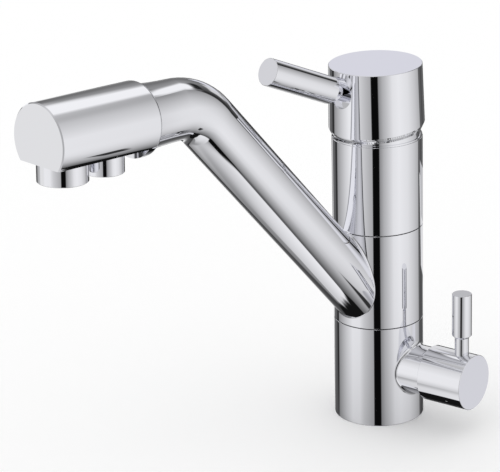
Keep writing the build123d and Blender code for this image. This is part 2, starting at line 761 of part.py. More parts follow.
with BuildPart() as spout_tube:
    # Flared root behind the head, drawn from the side and turned about its own line.
    with BuildSketch(Plane.YZ):
        with BuildLine():
            flare = TangentArc(
                from_side(bend_start - head_down * tube_radius),
                from_side(head_back - head_down * tube_root_radius),
                tangent=from_side(head_out),
            )
            Polyline(flare @ 1, from_side(head_back), from_side(bend_start), flare @ 0)
        make_face()
    revolve(axis=Axis(head_back, head_out))
    with BuildSketch(across(head_out, bend_start)):
        Circle(tube_radius)
    revolve(axis=Axis(bend_centre, (-1, 0, 0)), revolution_arc=bend_turn)
    with BuildSketch(across(tube_up * -1, bend_end)):
        Circle(tube_radius)
    extrude(amount=tube_length)
    with BuildSketch(across(head_out, head_back)):
        Circle(head_radius - head_wall - fit_gap)
    extrude(amount=tube_spigot)
    # The seat on the collar.
    with BuildSketch():
        Circle(body_radius)
    extrude(amount=upper_top, mode=Mode.SUBTRACT)
    # The bore.
    with BuildSketch(across(head_out, bend_start)):
        Circle(tube_radius - tube_wall)
    extrude(amount=tube_straight + tube_spigot, mode=Mode.SUBTRACT)
    with BuildSketch(across(head_out, bend_start)):
        Circle(tube_radius - tube_wall)
    revolve(axis=Axis(bend_centre, (-1, 0, 0)), revolution_arc=bend_turn, mode=Mode.SUBTRACT)
    with BuildSketch(across(tube_up * -1, bend_end)):
        Circle(tube_radius - tube_wall)
    extrude(amount=tube_length, mode=Mode.SUBTRACT)
spout_tube.part.label = "spout_tube"
export_step(spout_tube.part, "parts/spout_tube.step")


def outlet_frame(offset):
    """The frame of an outlet: on the flat under the head, local Z down and out."""
    on_axis = head_front - head_out * offset
    return Plane(origin=on_axis + head_down * head_flat_drop, x_dir=(1, 0, 0), z_dir=head_down)


aerator_frame = outlet_frame(aerator_offset)
nozzle_frame = outlet_frame(nozzle_offset)

with BuildPart() as spout_head:
    with BuildSketch(across(head_out, head_back)):
        Circle(head_radius)
    extrude(amount=head_length)
    front_to_back = Axis(head_back, head_out)
    chamfer(spout_head.edges().group_by(front_to_back)[-1], head_front_chamfer)
    fillet(spout_head.edges().group_by(front_to_back)[0], head_inner_fillet)
    # The flat, from the front face almost to the inner end.
    with BuildSketch(across(head_out, head_front - head_out * head_flat_length)):
        with Locations((0, -head_flat_drop - head_radius)):
            Rectangle(2 * head_radius, 2 * head_radius)
    extrude(amount=head_flat_length, mode=Mode.SUBTRACT)
    # Full bore for the tube's spigot, then a bore with a flat floor.
    with BuildSketch(across(head_out, head_back)):
        Circle(head_radius - head_wall)
    extrude(amount=head_length - head_flat_length, mode=Mode.SUBTRACT)
    with BuildSketch(across(head_out, head_back)):
        Circle(head_radius - head_wall)
        with Locations((0, head_radius - head_flat_drop + head_wall)):
            Rectangle(2 * head_radius, 2 * head_radius, mode=Mode.INTERSECT)
    extrude(amount=head_length - head_wall, mode=Mode.SUBTRACT)
    # Tapped holes for the two outlets.
    for frame, spigot_radius in (
        (aerator_frame, aerator_spigot_radius),
        (nozzle_frame, nozzle_spigot_radius),
    ):
        with BuildSketch(frame):
            Circle(spigot_radius + fit_gap)
        extrude(amount=-2 * head_wall, mode=Mode.SUBTRACT)
spout_head.part.label = "spout_head"
export_step(spout_head.part, "parts/spout_head.step")

# Aerator, the large outlet at the front ------------------------------------------

aerator_washer_top = aerator_drop - insert_recess - insert_rim - washer_thickness

with BuildPart() as aerator_housing:
    with BuildSketch(aerator_frame):
        Circle(aerator_radius)
    extrude(amount=aerator_drop)
    chamfer(aerator_housing.edges().group_by(Axis(aerator_frame.origin, head_down))[-1], edge_break)
    with BuildSketch(aerator_frame):
        Circle(aerator_spigot_radius)
    extrude(amount=-spigot_length)
    with BuildSketch(aerator_frame.offset(aerator_washer_top)):
        Circle(aerator_bore_radius)
    extrude(amount=aerator_drop - aerator_washer_top, mode=Mode.SUBTRACT)
    with BuildSketch(aerator_frame.offset(-spigot_length)):
        Circle(aerator_bore_radius - washer_ledge)
    extrude(amount=aerator_drop, mode=Mode.SUBTRACT)
aerator_housing.part.label = "aerator_housing"
export_step(aerator_housing.part, "parts/aerator_housing.step")

with BuildPart() as aerator_washer:
    with BuildSketch(aerator_frame.offset(aerator_washer_top)):
        Circle(aerator_bore_radius - fit_gap)
        Circle(aerator_bore_radius - washer_ledge - fit_gap, mode=Mode.SUBTRACT)
    extrude(amount=washer_thickness)
aerator_washer.part.label = "aerator_washer"
export_step(aerator_washer.part, "parts/aerator_washer.step")

with BuildPart() as aerator_insert:
    with BuildSketch(aerator_frame.offset(aerator_washer_top + washer_thickness)):
        Circle(aerator_bore_radius - fit_gap)
    extrude(amount=insert_rim)
    with BuildSketch(aerator_frame.offset(aerator_washer_top + washer_thickness)):
        Circle(aerator_bore_radius - washer_ledge)
    extrude(amount=insert_rim - insert_plate, mode=Mode.SUBTRACT)
    # Jets in rings of six, twelve and eighteen round a middle one.
    with BuildSketch(aerator_frame.offset(aerator_washer_top + washer_thickness)):
        Circle(jet_radius)
        for ring in range(1, aerator_jet_rings + 1):
            with PolarLocations(ring * jet_pitch, 6 * ring):
                Circle(jet_radius)
    extrude(amount=insert_rim, mode=Mode.SUBTRACT)
aerator_insert.part.label = "aerator_insert"
export_step(aerator_insert.part, "parts/aerator_insert.step")

# Nozzle of the filtered water, the small outlet behind it --------------------------

nozzle_washer_top = nozzle_drop - insert_recess - insert_rim - washer_thickness

with BuildPart() as filter_nozzle:
    with BuildSketch(nozzle_frame):
        Circle(nozzle_radius)
    extrude(amount=nozzle_drop)
    chamfer(filter_nozzle.edges().group_by(Axis(nozzle_frame.origin, head_down))[-1], edge_break)
    with BuildSketch(nozzle_frame):
        Circle(nozzle_spigot_radius)
    extrude(amount=-spigot_length)
    with BuildSketch(nozzle_frame.offset(nozzle_washer_top)):
        Circle(nozzle_bore_radius)
    extrude(amount=nozzle_drop - nozzle_washer_top, mode=Mode.SUBTRACT)
    with BuildSketch(nozzle_frame.offset(-spigot_length)):
        Circle(filter_tube_radius - filter_tube_wall)
    extrude(amount=nozzle_drop, mode=Mode.SUBTRACT)
    with BuildSketch(nozzle_frame.offset(-spigot_length)):
        Circle(filter_tube_radius + fit_gap)
    extrude(amount=spigot_length + filter_tube_seat, mode=Mode.SUBTRACT)
filter_nozzle.part.label = "filter_nozzle"
export_step(filter_nozzle.part, "parts/filter_nozzle.step")

with BuildPart() as nozzle_washer:
    with BuildSketch(nozzle_frame.offset(nozzle_washer_top)):
        Circle(nozzle_bore_radius - fit_gap)
        Circle(nozzle_bore_radius - 2 * washer_ledge, mode=Mode.SUBTRACT)
    extrude(amount=washer_thickness)
nozzle_washer.part.label = "nozzle_washer"
export_step(nozzle_washer.part, "parts/nozzle_washer.step")

with BuildPart() as nozzle_insert:
    with BuildSketch(nozzle_frame.offset(nozzle_washer_top + washer_thickness)):
        Circle(nozzle_bore_radius - fit_gap)
    extrude(amount=insert_rim)
    with BuildSketch(nozzle_frame.offset(nozzle_washer_top + washer_thickness)):
        Circle(nozzle_bore_radius - washer_ledge)
    extrude(amount=insert_rim - insert_plate, mode=Mode.SUBTRACT)
    with BuildSketch(nozzle_frame.offset(nozzle_washer_top + washer_thickness)):
        Circle(jet_radius)
        for ring in range(1, nozzle_jet_rings + 1):
            with PolarLocations(ring * jet_pitch, 6 * ring):
                Circle(jet_radius)
    extrude(amount=insert_rim, mode=Mode.SUBTRACT)
nozzle_insert.part.label = "nozzle_insert"
export_step(nozzle_insert.part, "parts/nozzle_insert.step")

# Filtered water tube: in the collar, up the spout and down into the nozzle ----------

nozzle_on_axis = head_front - head_out * nozzle_offset
filter_route = [
    (-core_radius - filter_tube_start, filter_port_height),
    (-body_radius - filter_tube_lead, filter_port_height),
    from_side(spout_corner + (bend_centre - spout_corner).normalized() * filter_tube_elbow_depth),
    from_side(nozzle_on_axis - head_down * filter_tube_height),
    from_side(nozzle_frame.origin + head_down * filter_tube_seat),
]

with BuildPart() as filtered_water_tube:
    with BuildLine(Plane.YZ):
        FilletPolyline(*filter_route, radius=filter_tube_bends)
    with BuildSketch(Plane(origin=(0, *filter_route[0]), x_dir=(1, 0, 0), z_dir=(0, -1, 0))):
        Circle(filter_tube_radius)
        Circle(filter_tube_radius - filter_tube_wall, mode=Mode.SUBTRACT)
    sweep()
filtered_water_tube.part.label = "filtered_water_tube"
export_step(filtered_water_tube.part, "parts/filtered_water_tube.step")

# Filter valve -------------------------------------------------------------------------

with BuildPart() as valve_seat_seal:
    with BuildSketch(valve_frame.offset(valve_bore_start)):
        Circle(valve_disc_radius)
        Circle(seat_radius + fit_gap, mode=Mode.SUBTRACT)
    extrude(amount=seat_seal_thickness)
valve_seat_seal.part.label = "valve_seat_seal"
export_step(valve_seat_seal.part, "parts/valve_seat_seal.step")

with BuildPart() as valve_fixed_disc:
    with BuildSketch(valve_frame.offset(headwork_bottom)):
        Circle(valve_disc_radius + disc_fit)
        with PolarLocations(valve_disc_radius / 2, 2):
            Circle(valve_port_radius, mode=Mode.SUBTRACT)
    extrude(amount=valve_disc_thickness)
valve_fixed_disc.part.label = "valve_fixed_disc"
export_step(valve_fixed_disc.part, "parts/valve_fixed_disc.step")

with BuildPart() as valve_turning_disc:
    with BuildSketch(valve_frame.offset(turning_disc_bottom)):
        Circle(valve_disc_radius)
        with PolarLocations(valve_disc_radius / 2, 2, start_angle=90):
            Circle(valve_port_radius, mode=Mode.SUBTRACT)
    extrude(amount=valve_disc_thickness)
valve_turning_disc.part.label = "valve_turning_disc"
export_step(valve_turning_disc.part, "parts/valve_turning_disc.step")

with BuildPart() as valve_headwork:
    with BuildSketch(valve_frame.offset(headwork_bottom)):
        Circle(valve_bore_radius - headwork_relief)
    extrude(amount=headwork_relief_length)
    with BuildSketch(valve_frame.offset(headwork_bottom + headwork_relief_length)):
        Circle(valve_bore_radius)
    extrude(amount=neck_reach - edge_break - headwork_bottom - headwork_relief_length)
    with BuildSketch(valve_frame.offset(neck_reach - edge_break)):
        Circle(headwork_nose_radius)
    extrude(amount=headwork_reach - neck_reach + edge_break)
    with BuildSketch(valve_frame.offset(headwork_bottom)):
        Circle(valve_disc_radius + disc_fit + fit_gap)
    extrude(amount=spindle_shoulder + spline_air - headwork_bottom, mode=Mode.SUBTRACT)
    with BuildSketch(valve_frame.offset(headwork_bottom)):
        Circle(spindle_radius + run_gap)
    extrude(amount=headwork_reach - headwork_bottom, mode=Mode.SUBTRACT)
    # Window that lets the water out to the riser.
    with BuildSketch(Plane(origin=valve_frame.origin + valve_out * turning_disc_bottom, z_dir=(0, 0, 1))):
        Circle(valve_port_radius)
    extrude(amount=valve_bore_radius, mode=Mode.SUBTRACT)
valve_headwork.part.label = "valve_headwork"
export_step(valve_headwork.part, "parts/valve_headwork.step")

with BuildPart() as valve_spindle:
    with BuildSketch(valve_frame.offset(spindle_bottom)):
        Circle(valve_disc_radius)
    extrude(amount=spindle_flange_thickness)
    with BuildSketch(valve_frame.offset(spindle_bottom)):
        Circle(spindle_radius)
    extrude(amount=spline_start - spindle_bottom)
    with BuildSketch(valve_frame.offset(spindle_bottom)):
        Circle(spline_radius)
    extrude(amount=spline_end - spindle_bottom)
    with BuildSketch(valve_frame.offset(neck_reach)):
        Circle(spindle_radius)
        Circle(spindle_radius - spindle_ring_section, mode=Mode.SUBTRACT)
    extrude(amount=spindle_ring_section + 2 * run_gap, mode=Mode.SUBTRACT)
valve_spindle.part.label = "valve_spindle"
export_step(valve_spindle.part, "parts/valve_spindle.step")

with BuildPart() as spindle_o_ring:
    with BuildSketch(Plane(origin=valve_frame.origin, x_dir=valve_out, z_dir=valve_frame.y_dir)):
        with Locations(
            (neck_reach + run_gap + spindle_ring_section / 2, spindle_radius - spindle_ring_section / 2)
        ):
            Circle(spindle_ring_section / 2)
    revolve(axis=Axis(valve_frame.origin, valve_out))
spindle_o_ring.part.label = "spindle_o_ring"
export_step(spindle_o_ring.part, "parts/spindle_o_ring.step")

pin_frame = Plane(origin=valve_frame.origin + valve_out * pin_offset, x_dir=valve_out, z_dir=(0, 0, 1))
knob_screw_frame = Plane(
    origin=valve_frame.origin + valve_out * knob_screw_offset,
    x_dir=valve_out,
    z_dir=(0, 0, -1),
)

with BuildPart() as valve_knob:
    with BuildSketch(valve_frame.offset(knob_start)):
        Circle(knob_radius)
    extrude(amount=knob_length)
    chamfer(valve_knob.edges().filter_by(GeomType.CIRCLE), edge_break)
    with BuildSketch(valve_frame.offset(knob_start)):
        Circle(knob_cavity_radius)
    extrude(amount=knob_length - knob_web, mode=Mode.SUBTRACT)
    with BuildSketch(valve_frame.offset(knob_start)):
        Circle(spline_radius + fit_gap)
    extrude(amount=spline_end + fit_gap - knob_start, mode=Mode.SUBTRACT)
    with BuildSketch(pin_frame.offset(pin_seat)):
        Circle(pin_neck_radius + fit_gap)
    extrude(amount=knob_radius, mode=Mode.SUBTRACT)
    with BuildSketch(pin_frame.offset(pin_tail_bottom)):
        Circle(pin_tail_radius + fit_gap)
    extrude(amount=knob_radius, mode=Mode.SUBTRACT)
    with BuildSketch(knob_screw_frame):
        Circle(knob_screw_radius + fit_gap)
    extrude(amount=knob_radius, mode=Mode.SUBTRACT)
valve_knob.part.label = "valve_knob"
export_step(valve_knob.part, "parts/valve_knob.step")

with BuildPart() as valve_pin:
    with BuildSketch(Plane(origin=pin_frame.origin, x_dir=valve_out, z_dir=pin_frame.y_dir * -1)):
        Polygon(
            (0, pin_tail_bottom),
            (pin_tail_radius, pin_tail_bottom),
            (pin_tail_radius, pin_seat),
            (pin_neck_radius, pin_seat),
            (pin_neck_radius, pin_shoulder - pin_chamfer),
            (pin_radius, pin_shoulder),
            (pin_radius, pin_top - edge_break),
            (pin_radius - edge_break, pin_top),
            (0, pin_top),
            align=None,
        )
    revolve(axis=Axis(pin_frame.origin, (0, 0, 1)))
valve_pin.part.label = "valve_pin"
export_step(valve_pin.part, "parts/valve_pin.step")

with BuildPart() as knob_grub_screw:
    with BuildSketch(knob_screw_frame.offset(spline_radius + fit_gap)):
        Circle(knob_screw_radius)
    extrude(amount=knob_screw_length)
    with BuildSketch(knob_screw_frame.offset(spline_radius + fit_gap + knob_screw_length)):
        RegularPolygon(knob_screw_radius / 2, 6)
    extrude(amount=-knob_screw_length / 2, mode=Mode.SUBTRACT)
knob_grub_screw.part.label = "knob_grub_screw"
export_step(knob_grub_screw.part, "parts/knob_grub_screw.step")
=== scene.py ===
# %% [markdown]
# # A three way kitchen tap in polished chrome
#
# This lesson dresses a finished mechanical model of a kitchen tap. One lever on top mixes hot
# and cold water, and a small valve on the side of the base opens filtered water, which has its
# own nozzle behind the aerator. The mechanical model gives every shape and every joint. What is
# left for Blender is what makes chrome look like chrome: exact reflections, a studio worth
# reflecting, and honest finishes on the pieces inside.

# %% Load the frame
import json
from math import cos, radians, sin, sqrt

import bpy
import numpy as np
from mathutils import Matrix, Vector


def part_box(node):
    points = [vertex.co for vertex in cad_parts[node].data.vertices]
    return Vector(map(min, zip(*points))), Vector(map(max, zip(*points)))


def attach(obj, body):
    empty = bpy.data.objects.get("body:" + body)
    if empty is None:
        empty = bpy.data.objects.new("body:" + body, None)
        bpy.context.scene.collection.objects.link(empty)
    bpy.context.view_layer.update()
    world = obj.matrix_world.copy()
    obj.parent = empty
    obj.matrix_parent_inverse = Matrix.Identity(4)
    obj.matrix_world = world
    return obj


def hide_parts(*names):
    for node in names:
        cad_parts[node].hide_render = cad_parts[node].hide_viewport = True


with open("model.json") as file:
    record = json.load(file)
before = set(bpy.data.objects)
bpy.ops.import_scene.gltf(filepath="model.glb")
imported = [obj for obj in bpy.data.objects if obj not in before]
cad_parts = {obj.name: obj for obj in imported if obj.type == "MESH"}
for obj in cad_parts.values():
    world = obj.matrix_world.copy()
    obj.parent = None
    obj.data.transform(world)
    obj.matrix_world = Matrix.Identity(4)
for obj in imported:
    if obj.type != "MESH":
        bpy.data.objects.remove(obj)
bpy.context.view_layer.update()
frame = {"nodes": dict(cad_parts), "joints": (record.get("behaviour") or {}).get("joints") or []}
nodes = frame["nodes"]
joints = {joint["name"]: joint for joint in frame["joints"]}

# %% [markdown]
# ## The lines that the tap is built on
#
# Every round surface here is turned about a line: the column, the valve, the lever, its rod,
# the spout's incline, its bend and its head. The joints of the model give some of these lines,
# and a few named angles and sizes give the rest. All lengths are in metres.

# %% Column and valve
mm = 0.001
up = Vector((0, 0, 1))
sideways = Vector((1, 0, 0))
origin = Vector((0, 0, 0))
body_radius = 25.0 * mm
neck_radius = 13.7 * mm
knob_radius = 15.5 * mm
valve_origin = Vector(joints["filter_valve"]["pos_m"])
valve_axis = Vector(joints["filter_valve"]["axis"]).normalized()
knob_end = valve_origin + valve_axis * 63.4 * mm
pin_place = valve_origin + valve_axis * 55.4 * mm
pin_radius = 5.45 * mm
pin_neck_radius = 3.9 * mm
pin_taper_start = 25.1 * mm
pin_taper_length = 1.5 * mm
pin_top = pin_place + up * 50.7 * mm
print("valve along", tuple(valve_axis))

# %% Lever and rod
pivot = Vector(joints["lever_lift"]["pos_m"])
lever_right = -Vector(joints["lever_lift"]["axis"]).normalized()
lever_front = Vector((lever_right.y, -lever_right.x, 0))
lever_tip = radians(1.15)
lever_up = (lever_front * sin(lever_tip) + up * cos(lever_tip)).normalized()
lever_forward = (lever_front * cos(lever_tip) - up * sin(lever_tip)).normalized()
dome_radius = 24.1 * mm
dome_foot_radius = 24.7 * mm
cap_height = 43.7 * mm
cap_top_radius = 25.6 * mm
cap_flare = -0.022
cap_top = pivot + lever_up * cap_height
cap_rim = pivot + lever_up * 6.6 * mm
cap_rim_tip = radians(3.9)
cap_rim_way = lever_up * cos(cap_rim_tip) + lever_forward * sin(cap_rim_tip)
cap_rim_inset = 1.6 * mm
cap_rim_height = 3.1 * mm
rod_rise = radians(24.7)
rod_axis = lever_forward * cos(rod_rise) + lever_up * sin(rod_rise)
rod_root = pivot + lever_up * 20.4 * mm
rod_radius = 7.5 * mm
rod_neck_radius = 4.0 * mm
rod_taper_start = 29.8 * mm
rod_taper_length = 6.2 * mm
rod_end = rod_root + rod_axis * 81.8 * mm
spot_face_radius = 8.1 * mm
print("rod along", tuple(rod_axis))

# %% Spout
head_rise = radians(1.9)
head_out = Vector((0, -cos(head_rise), sin(head_rise)))
head_down = Vector((0, -sin(head_rise), -cos(head_rise)))
head_front = Vector((0, -233.8, 212.2)) * mm
head_back = head_front - head_out * 63.7 * mm
head_radius = 19.4 * mm
head_fillet = 2.0 * mm
head_break = 0.6 * mm
head_flat_drop = 12.2 * mm
tube_slope = radians(48.15)
tube_up = Vector((0, -cos(tube_slope), sin(tube_slope)))
tube_radius = 16.0 * mm
bend_radius = 30.7 * mm
bend_start = head_back - head_out * 22.6 * mm
bend_centre = bend_start + head_down * bend_radius
bend_end = bend_centre + Vector((0, sin(tube_slope), cos(tube_slope))) * bend_radius
flare_growth = 1.3 * mm
flare_length = 22.6 * mm
flare_radius = (flare_length**2 + flare_growth**2) / (2 * flare_growth)
aerator_place = head_front - head_out * 14.7 * mm + head_down * head_flat_drop
aerator_radius = 13.0 * mm
nozzle_place = head_front - head_out * 41.2 * mm + head_down * head_flat_drop
nozzle_radius = 10.2 * mm
print("bend from", tuple(bend_end), "to", tuple(bend_start))

# %% [markdown]
# ## Helpers for finishes
#
# Real surfaces vary a little from place to place. Each finish below starts from a colour or a
# gloss, and noise in the object's own metres moves it up and down by a small amount. Noise that
# is stretched along one direction gives the marks that a lathe or a brush leaves. A picture
# could do the same, but noise has no seams and fits every piece.

# %% Helpers for node trees
def put(tree, slot, value):
    """Links a socket to a node's input, or writes any other value in it."""
    if isinstance(value, bpy.types.NodeSocket):
        tree.links.new(value, slot)
    else:
        slot.default_value = value


def filled(tree, node, **inputs):
    """Fills inputs of a node. Base_Color stands for the input Base Color."""
    for name, value in inputs.items():
        put(tree, node.inputs[name.replace("_", " ")], value)
    return node


def made(tree, kind, output, **inputs):
    """Adds a node of a kind, fills its inputs, and gives one of its outputs."""
    return filled(tree, tree.nodes.new(kind), **inputs).outputs[output]


# %% Helpers for finishes
noise_range = (0.3, 0.7)


def new_material(name, metallic=0.0):
    """A material with its tree and its Principled shader."""
    material = bpy.data.materials.new(name)
    material.use_nodes = True
    tree = material.node_tree
    return material, tree, filled(tree, tree.nodes["Principled BSDF"], Metallic=metallic)


def object_noise(tree, scale, detail, stretch=(1, 1, 1), turn=(0, 0, 0)):
    """Noise in the object's own metres: scale is how many patches there are in a metre."""
    place = made(tree, "ShaderNodeTexCoord", "Object")
    place = made(tree, "ShaderNodeMapping", "Vector", Rotation=turn, Scale=stretch, Vector=place)
    return made(tree, "ShaderNodeTexNoise", "Fac", Scale=scale, Detail=detail, Vector=place)


def ranged(tree, source, low, high):
    """Spreads a noise, which mostly lies in the noise range, over a range of values."""
    spread = dict(zip(("From_Min", "From_Max", "To_Min", "To_Max"), (*noise_range, low, high)))
    return made(tree, "ShaderNodeMapRange", "Result", Value=source, **spread)


def coloured(tree, source, dark, light):
    """Turns a noise into a colour between two colours."""
    ramp = filled(tree, tree.nodes.new("ShaderNodeValToRGB"), Fac=source)
    for stop, place, colour in zip(ramp.color_ramp.elements, noise_range, (dark, light)):
        stop.position = place
        stop.color = (*colour, 1)
    return ramp.outputs["Color"]


def bumped(tree, shader, source, depth):
    """Lets a noise raise and lower the surface by up to a depth in metres."""
    bump = made(tree, "ShaderNodeBump", "Normal", Strength=1.0, Distance=depth, Height=source)
    filled(tree, shader, Normal=bump)


# %% [markdown]
# ## Chrome
#
# Chrome plate is a mirror with a slight blue cast. It is never quite perfect: the polish under
# the plate leaves a gentle waviness, and wiping leaves the gloss a little uneven. Both are too
# faint to see as such, but without them the metal looks like a diagram.

# %% Chrome
def chrome_plate():
    """Bright plating over polished brass."""
    material, tree, shader = new_material("chrome_plate", metallic=1.0)
    wiped = object_noise(tree, scale=60, detail=3)
    gloss = ranged(tree, wiped, low=0.012, high=0.03)
    filled(tree, shader, Base_Color=(0.86, 0.863, 0.9, 1), Roughness=gloss)
    bumped(tree, shader, object_noise(tree, scale=45, detail=1), depth=0.006 * mm)
    return material


chrome = chrome_plate()
print("made", chrome.name)

# %% [markdown]
# ## Finishes of the pieces inside
#
# Taken apart, the tap is a small museum of materials. The core, the nut and the valve's pieces
# are turned from brass, and the lathe leaves fine rings. Pins, stem and screws are stainless
# steel with a fine brushed grain. The discs that slide on each other are white ceramic, lapped
# flat. Seals are black rubber, the cartridge is glass filled plastic with short pale fibres in
# it, the slip rings are waxy white, and the inserts and the inner tube are pale and milky. Two
# recipes cover them all: one draws its noise out into rings, grain or fibres, and the other
# has cloudy colour under a fine even grain.

# %% Two recipes
def varied(tree, shader, clouds, colours, grain, gloss, depth):
    """One noise moves the colour between two colours, another the gloss and the surface."""
    colour = coloured(tree, clouds, *colours)
    filled(tree, shader, Base_Color=colour, Roughness=ranged(tree, grain, *gloss))
    bumped(tree, shader, grain, depth)


def streaked(name, metallic, detail, stretch, turn, colours, gloss, depth):
    """A material whose noise is drawn out into rings, grain or fibres."""
    material, tree, shader = new_material(name, metallic)
    marks = object_noise(tree, 1, detail, stretch, turn)
    varied(tree, shader, marks, colours, marks, gloss, depth)
    return material


def moulded(name, colours, gloss, grain_scale, depth):
    """A moulded or lapped material: cloudy colour, uneven gloss and a fine surface grain."""
    material, tree, shader = new_material(name)
    clouds = object_noise(tree, scale=220, detail=3)
    grain = object_noise(tree, grain_scale, detail=2)
    varied(tree, shader, clouds, colours, grain, gloss, depth)
    return material


# %% Metals inside
brass = streaked(
    "turned_brass",
    metallic=1.0, detail=4, stretch=(30, 30, 4000), turn=(0, 0, 0),
    colours=((0.7052, 0.5504, 0.2924), (0.82, 0.64, 0.34)),
    gloss=(0.18, 0.32), depth=0.02 * mm,
)
steel = streaked(
    "brushed_steel",
    metallic=1.0, detail=5, stretch=(5000, 900, 120), turn=(0.4, 0.2, 0),
    colours=((0.5, 0.5, 0.51), (0.66, 0.66, 0.67)),
    gloss=(0.22, 0.36), depth=0.01 * mm,
)
print("made", brass.name, "and", steel.name)

# %% Rubber, ceramic and plastics
rubber = moulded(
    "black_rubber", colours=((0.012, 0.012, 0.013), (0.03, 0.03, 0.032)),
    gloss=(0.66, 0.78), grain_scale=3000, depth=0.03 * mm,
)
ceramic = moulded(
    "lapped_ceramic", colours=((0.84, 0.83, 0.78), (0.92, 0.91, 0.87)),
    gloss=(0.16, 0.28), grain_scale=5000, depth=0.004 * mm,
)
waxy_plastic = moulded(
    "waxy_white_plastic", colours=((0.78, 0.78, 0.75), (0.86, 0.86, 0.83)),
    gloss=(0.4, 0.52), grain_scale=1800, depth=0.01 * mm,
)
milky_plastic = moulded(
    "milky_insert", colours=((0.72, 0.73, 0.74), (0.82, 0.83, 0.84)),
    gloss=(0.24, 0.36), grain_scale=1500, depth=0.008 * mm,
)
tube_plastic = moulded(
    "food_safe_tube", colours=((0.8, 0.83, 0.86), (0.88, 0.9, 0.92)),
    gloss=(0.28, 0.4), grain_scale=900, depth=0.012 * mm,
)
cartridge_plastic = streaked(
    "glass_filled_plastic",
    metallic=0.0, detail=4, stretch=(2600, 500, 500), turn=(0, 0.3, 0.6),
    colours=((0.012, 0.013, 0.015), (0.045, 0.047, 0.052)),
    gloss=(0.38, 0.55), depth=0.015 * mm,
)
print(len(bpy.data.materials), "materials so far")

# %% Dress the nodes inside
finish_of = {
    brass: ["manifold_core", "cartridge_nut", "valve_headwork", "valve_spindle"],
    steel: ["stem_pin", "lever_stem", "lever_grub_screw", "knob_grub_screw"],
    ceramic: ["fixed_disc", "moving_disc", "valve_fixed_disc", "valve_turning_disc"],
    cartridge_plastic: ["cartridge_base", "cartridge_housing", "stem_carrier", "disc_driver"],
    waxy_plastic: ["lower_slip_ring", "upper_slip_ring"],
    tube_plastic: ["filtered_water_tube"],
    rubber: [
        "base_gasket",
        "cartridge_seals",
        "valve_seat_seal",
        "spindle_o_ring",
        "aerator_washer",
        "nozzle_washer",
    ],
}
for material, names in finish_of.items():
    for name in names:
        nodes[name].data.materials.clear()
        nodes[name].data.materials.append(material)
    print(material.name, "on", len(names), "nodes")

# %% [markdown]
# ## Exact normals for polished metal
#
# A mirror shows every flaw in its shading. The model arrives as loose flat triangles, and plain
# smooth shading bends the reflections wherever the triangles are long or uneven. The cure is to
# ask each surface for its true direction. A face whose corners all lie on a known flat,
# cylinder, cone or ring gets that surface's own normals. The cap's slanted rim is known too,
# and it is shaded as if it rolled inwards. The narrow faces that break the sharp edges borrow
# the normals of the faces on either side, so they shine like a small round. Everything else is
# shaded smoothly up to a sharp edge.
#
# A known surface is a function. It takes points, and gives how far off the surface each one is
# and which way the surface faces there.

# %% Known surfaces
shortest = 1e-9
rim_slack = 0.2


def off_axis(points, centre, axis):
    """How far points are along an axis, their spokes out from it, and the spokes' lengths."""
    along = (points - centre) @ axis
    spokes = points - centre - along[:, None] * axis
    return along, spokes, np.maximum(np.linalg.norm(spokes, axis=1), shortest)


def cone(point, axis, radius, slope=0.0):
    """A cylinder, or a cone whose radius grows by slope for each metre along its axis."""
    point, axis = np.array(point), np.array(axis.normalized())

    def measure(points):
        along, spokes, reach = off_axis(points, point, axis)
        normals = spokes / reach[:, None] - slope * axis
        return reach - radius - slope * along, normals / sqrt(1 + slope * slope)

    return measure


def ring(centre, axis, major, minor):
    """A ring of round section, or a ball where major is nothing."""
    centre, axis = np.array(centre), np.array(axis.normalized())

    def measure(points):
        along, spokes, reach = off_axis(points, centre, axis)
        arms = spokes * ((reach - major) / reach)[:, None] + along[:, None] * axis
        lengths = np.maximum(np.linalg.norm(arms, axis=1), shortest)
        return lengths - minor, arms / lengths[:, None]

    return measure


def flat_face(point, normal):
    """A flat face through a point."""
    point, normal = np.array(point), np.array(normal.normalized())

    def measure(points):
        return (points - point) @ normal, np.tile(normal, (len(points), 1))

    return measure


def rolled_rim(side, axis, rim, inset, height):
    """The slanted rim under a cone's side, shaded as if it rolled inwards. It follows the real
    rim only roughly, so its distances are made smaller."""
    axis = np.array(axis.normalized())

    def measure(points):
        share = np.clip(rim(points)[0] / height, 0, 1)
        off, outwards = side(points)
        tilt = 2 * np.arctan(inset / height) * (1 - share)
        normals = outwards * np.cos(tilt)[:, None] - axis * np.sin(tilt)[:, None]
        return rim_slack * (off + inset * (1 - share)), normals

    return measure


# %% Join the loose triangles
join_distance = 0.0005 * mm


def new_mesh(name, points, faces):
    """A mesh of points, and faces that list them by number."""
    mesh = bpy.data.meshes.new(name)
    mesh.from_pydata(points, [], faces)
    return mesh


def merged_copy(node):
    """A copy of a node's mesh with its loose triangles joined at their corners."""
    source = nodes[node].data
    places = np.empty(len(source.vertices) * 3, np.float32)
    source.vertices.foreach_get("co", places)
    places = places.reshape(-1, 3)
    keys = np.round(places / join_distance).astype(np.int64)
    _, first, joined_to = np.unique(keys, axis=0, return_index=True, return_inverse=True)
    corners = np.empty(len(source.loops), np.int32)
    source.loops.foreach_get("vertex_index", corners)
    faces = joined_to.reshape(-1)[corners].reshape(-1, 3)
    whole = (faces != np.roll(faces, 1, axis=1)).all(axis=1)
    return new_mesh(node + "_polished", places[first].tolist(), faces[whole].tolist())


# %% Measure the triangles
surface_tolerance = 0.008 * mm
edge_break_width = 0.55 * mm
smallest_area = 1e-16
smooth_limit = cos(radians(14))
round_limit = cos(radians(70))


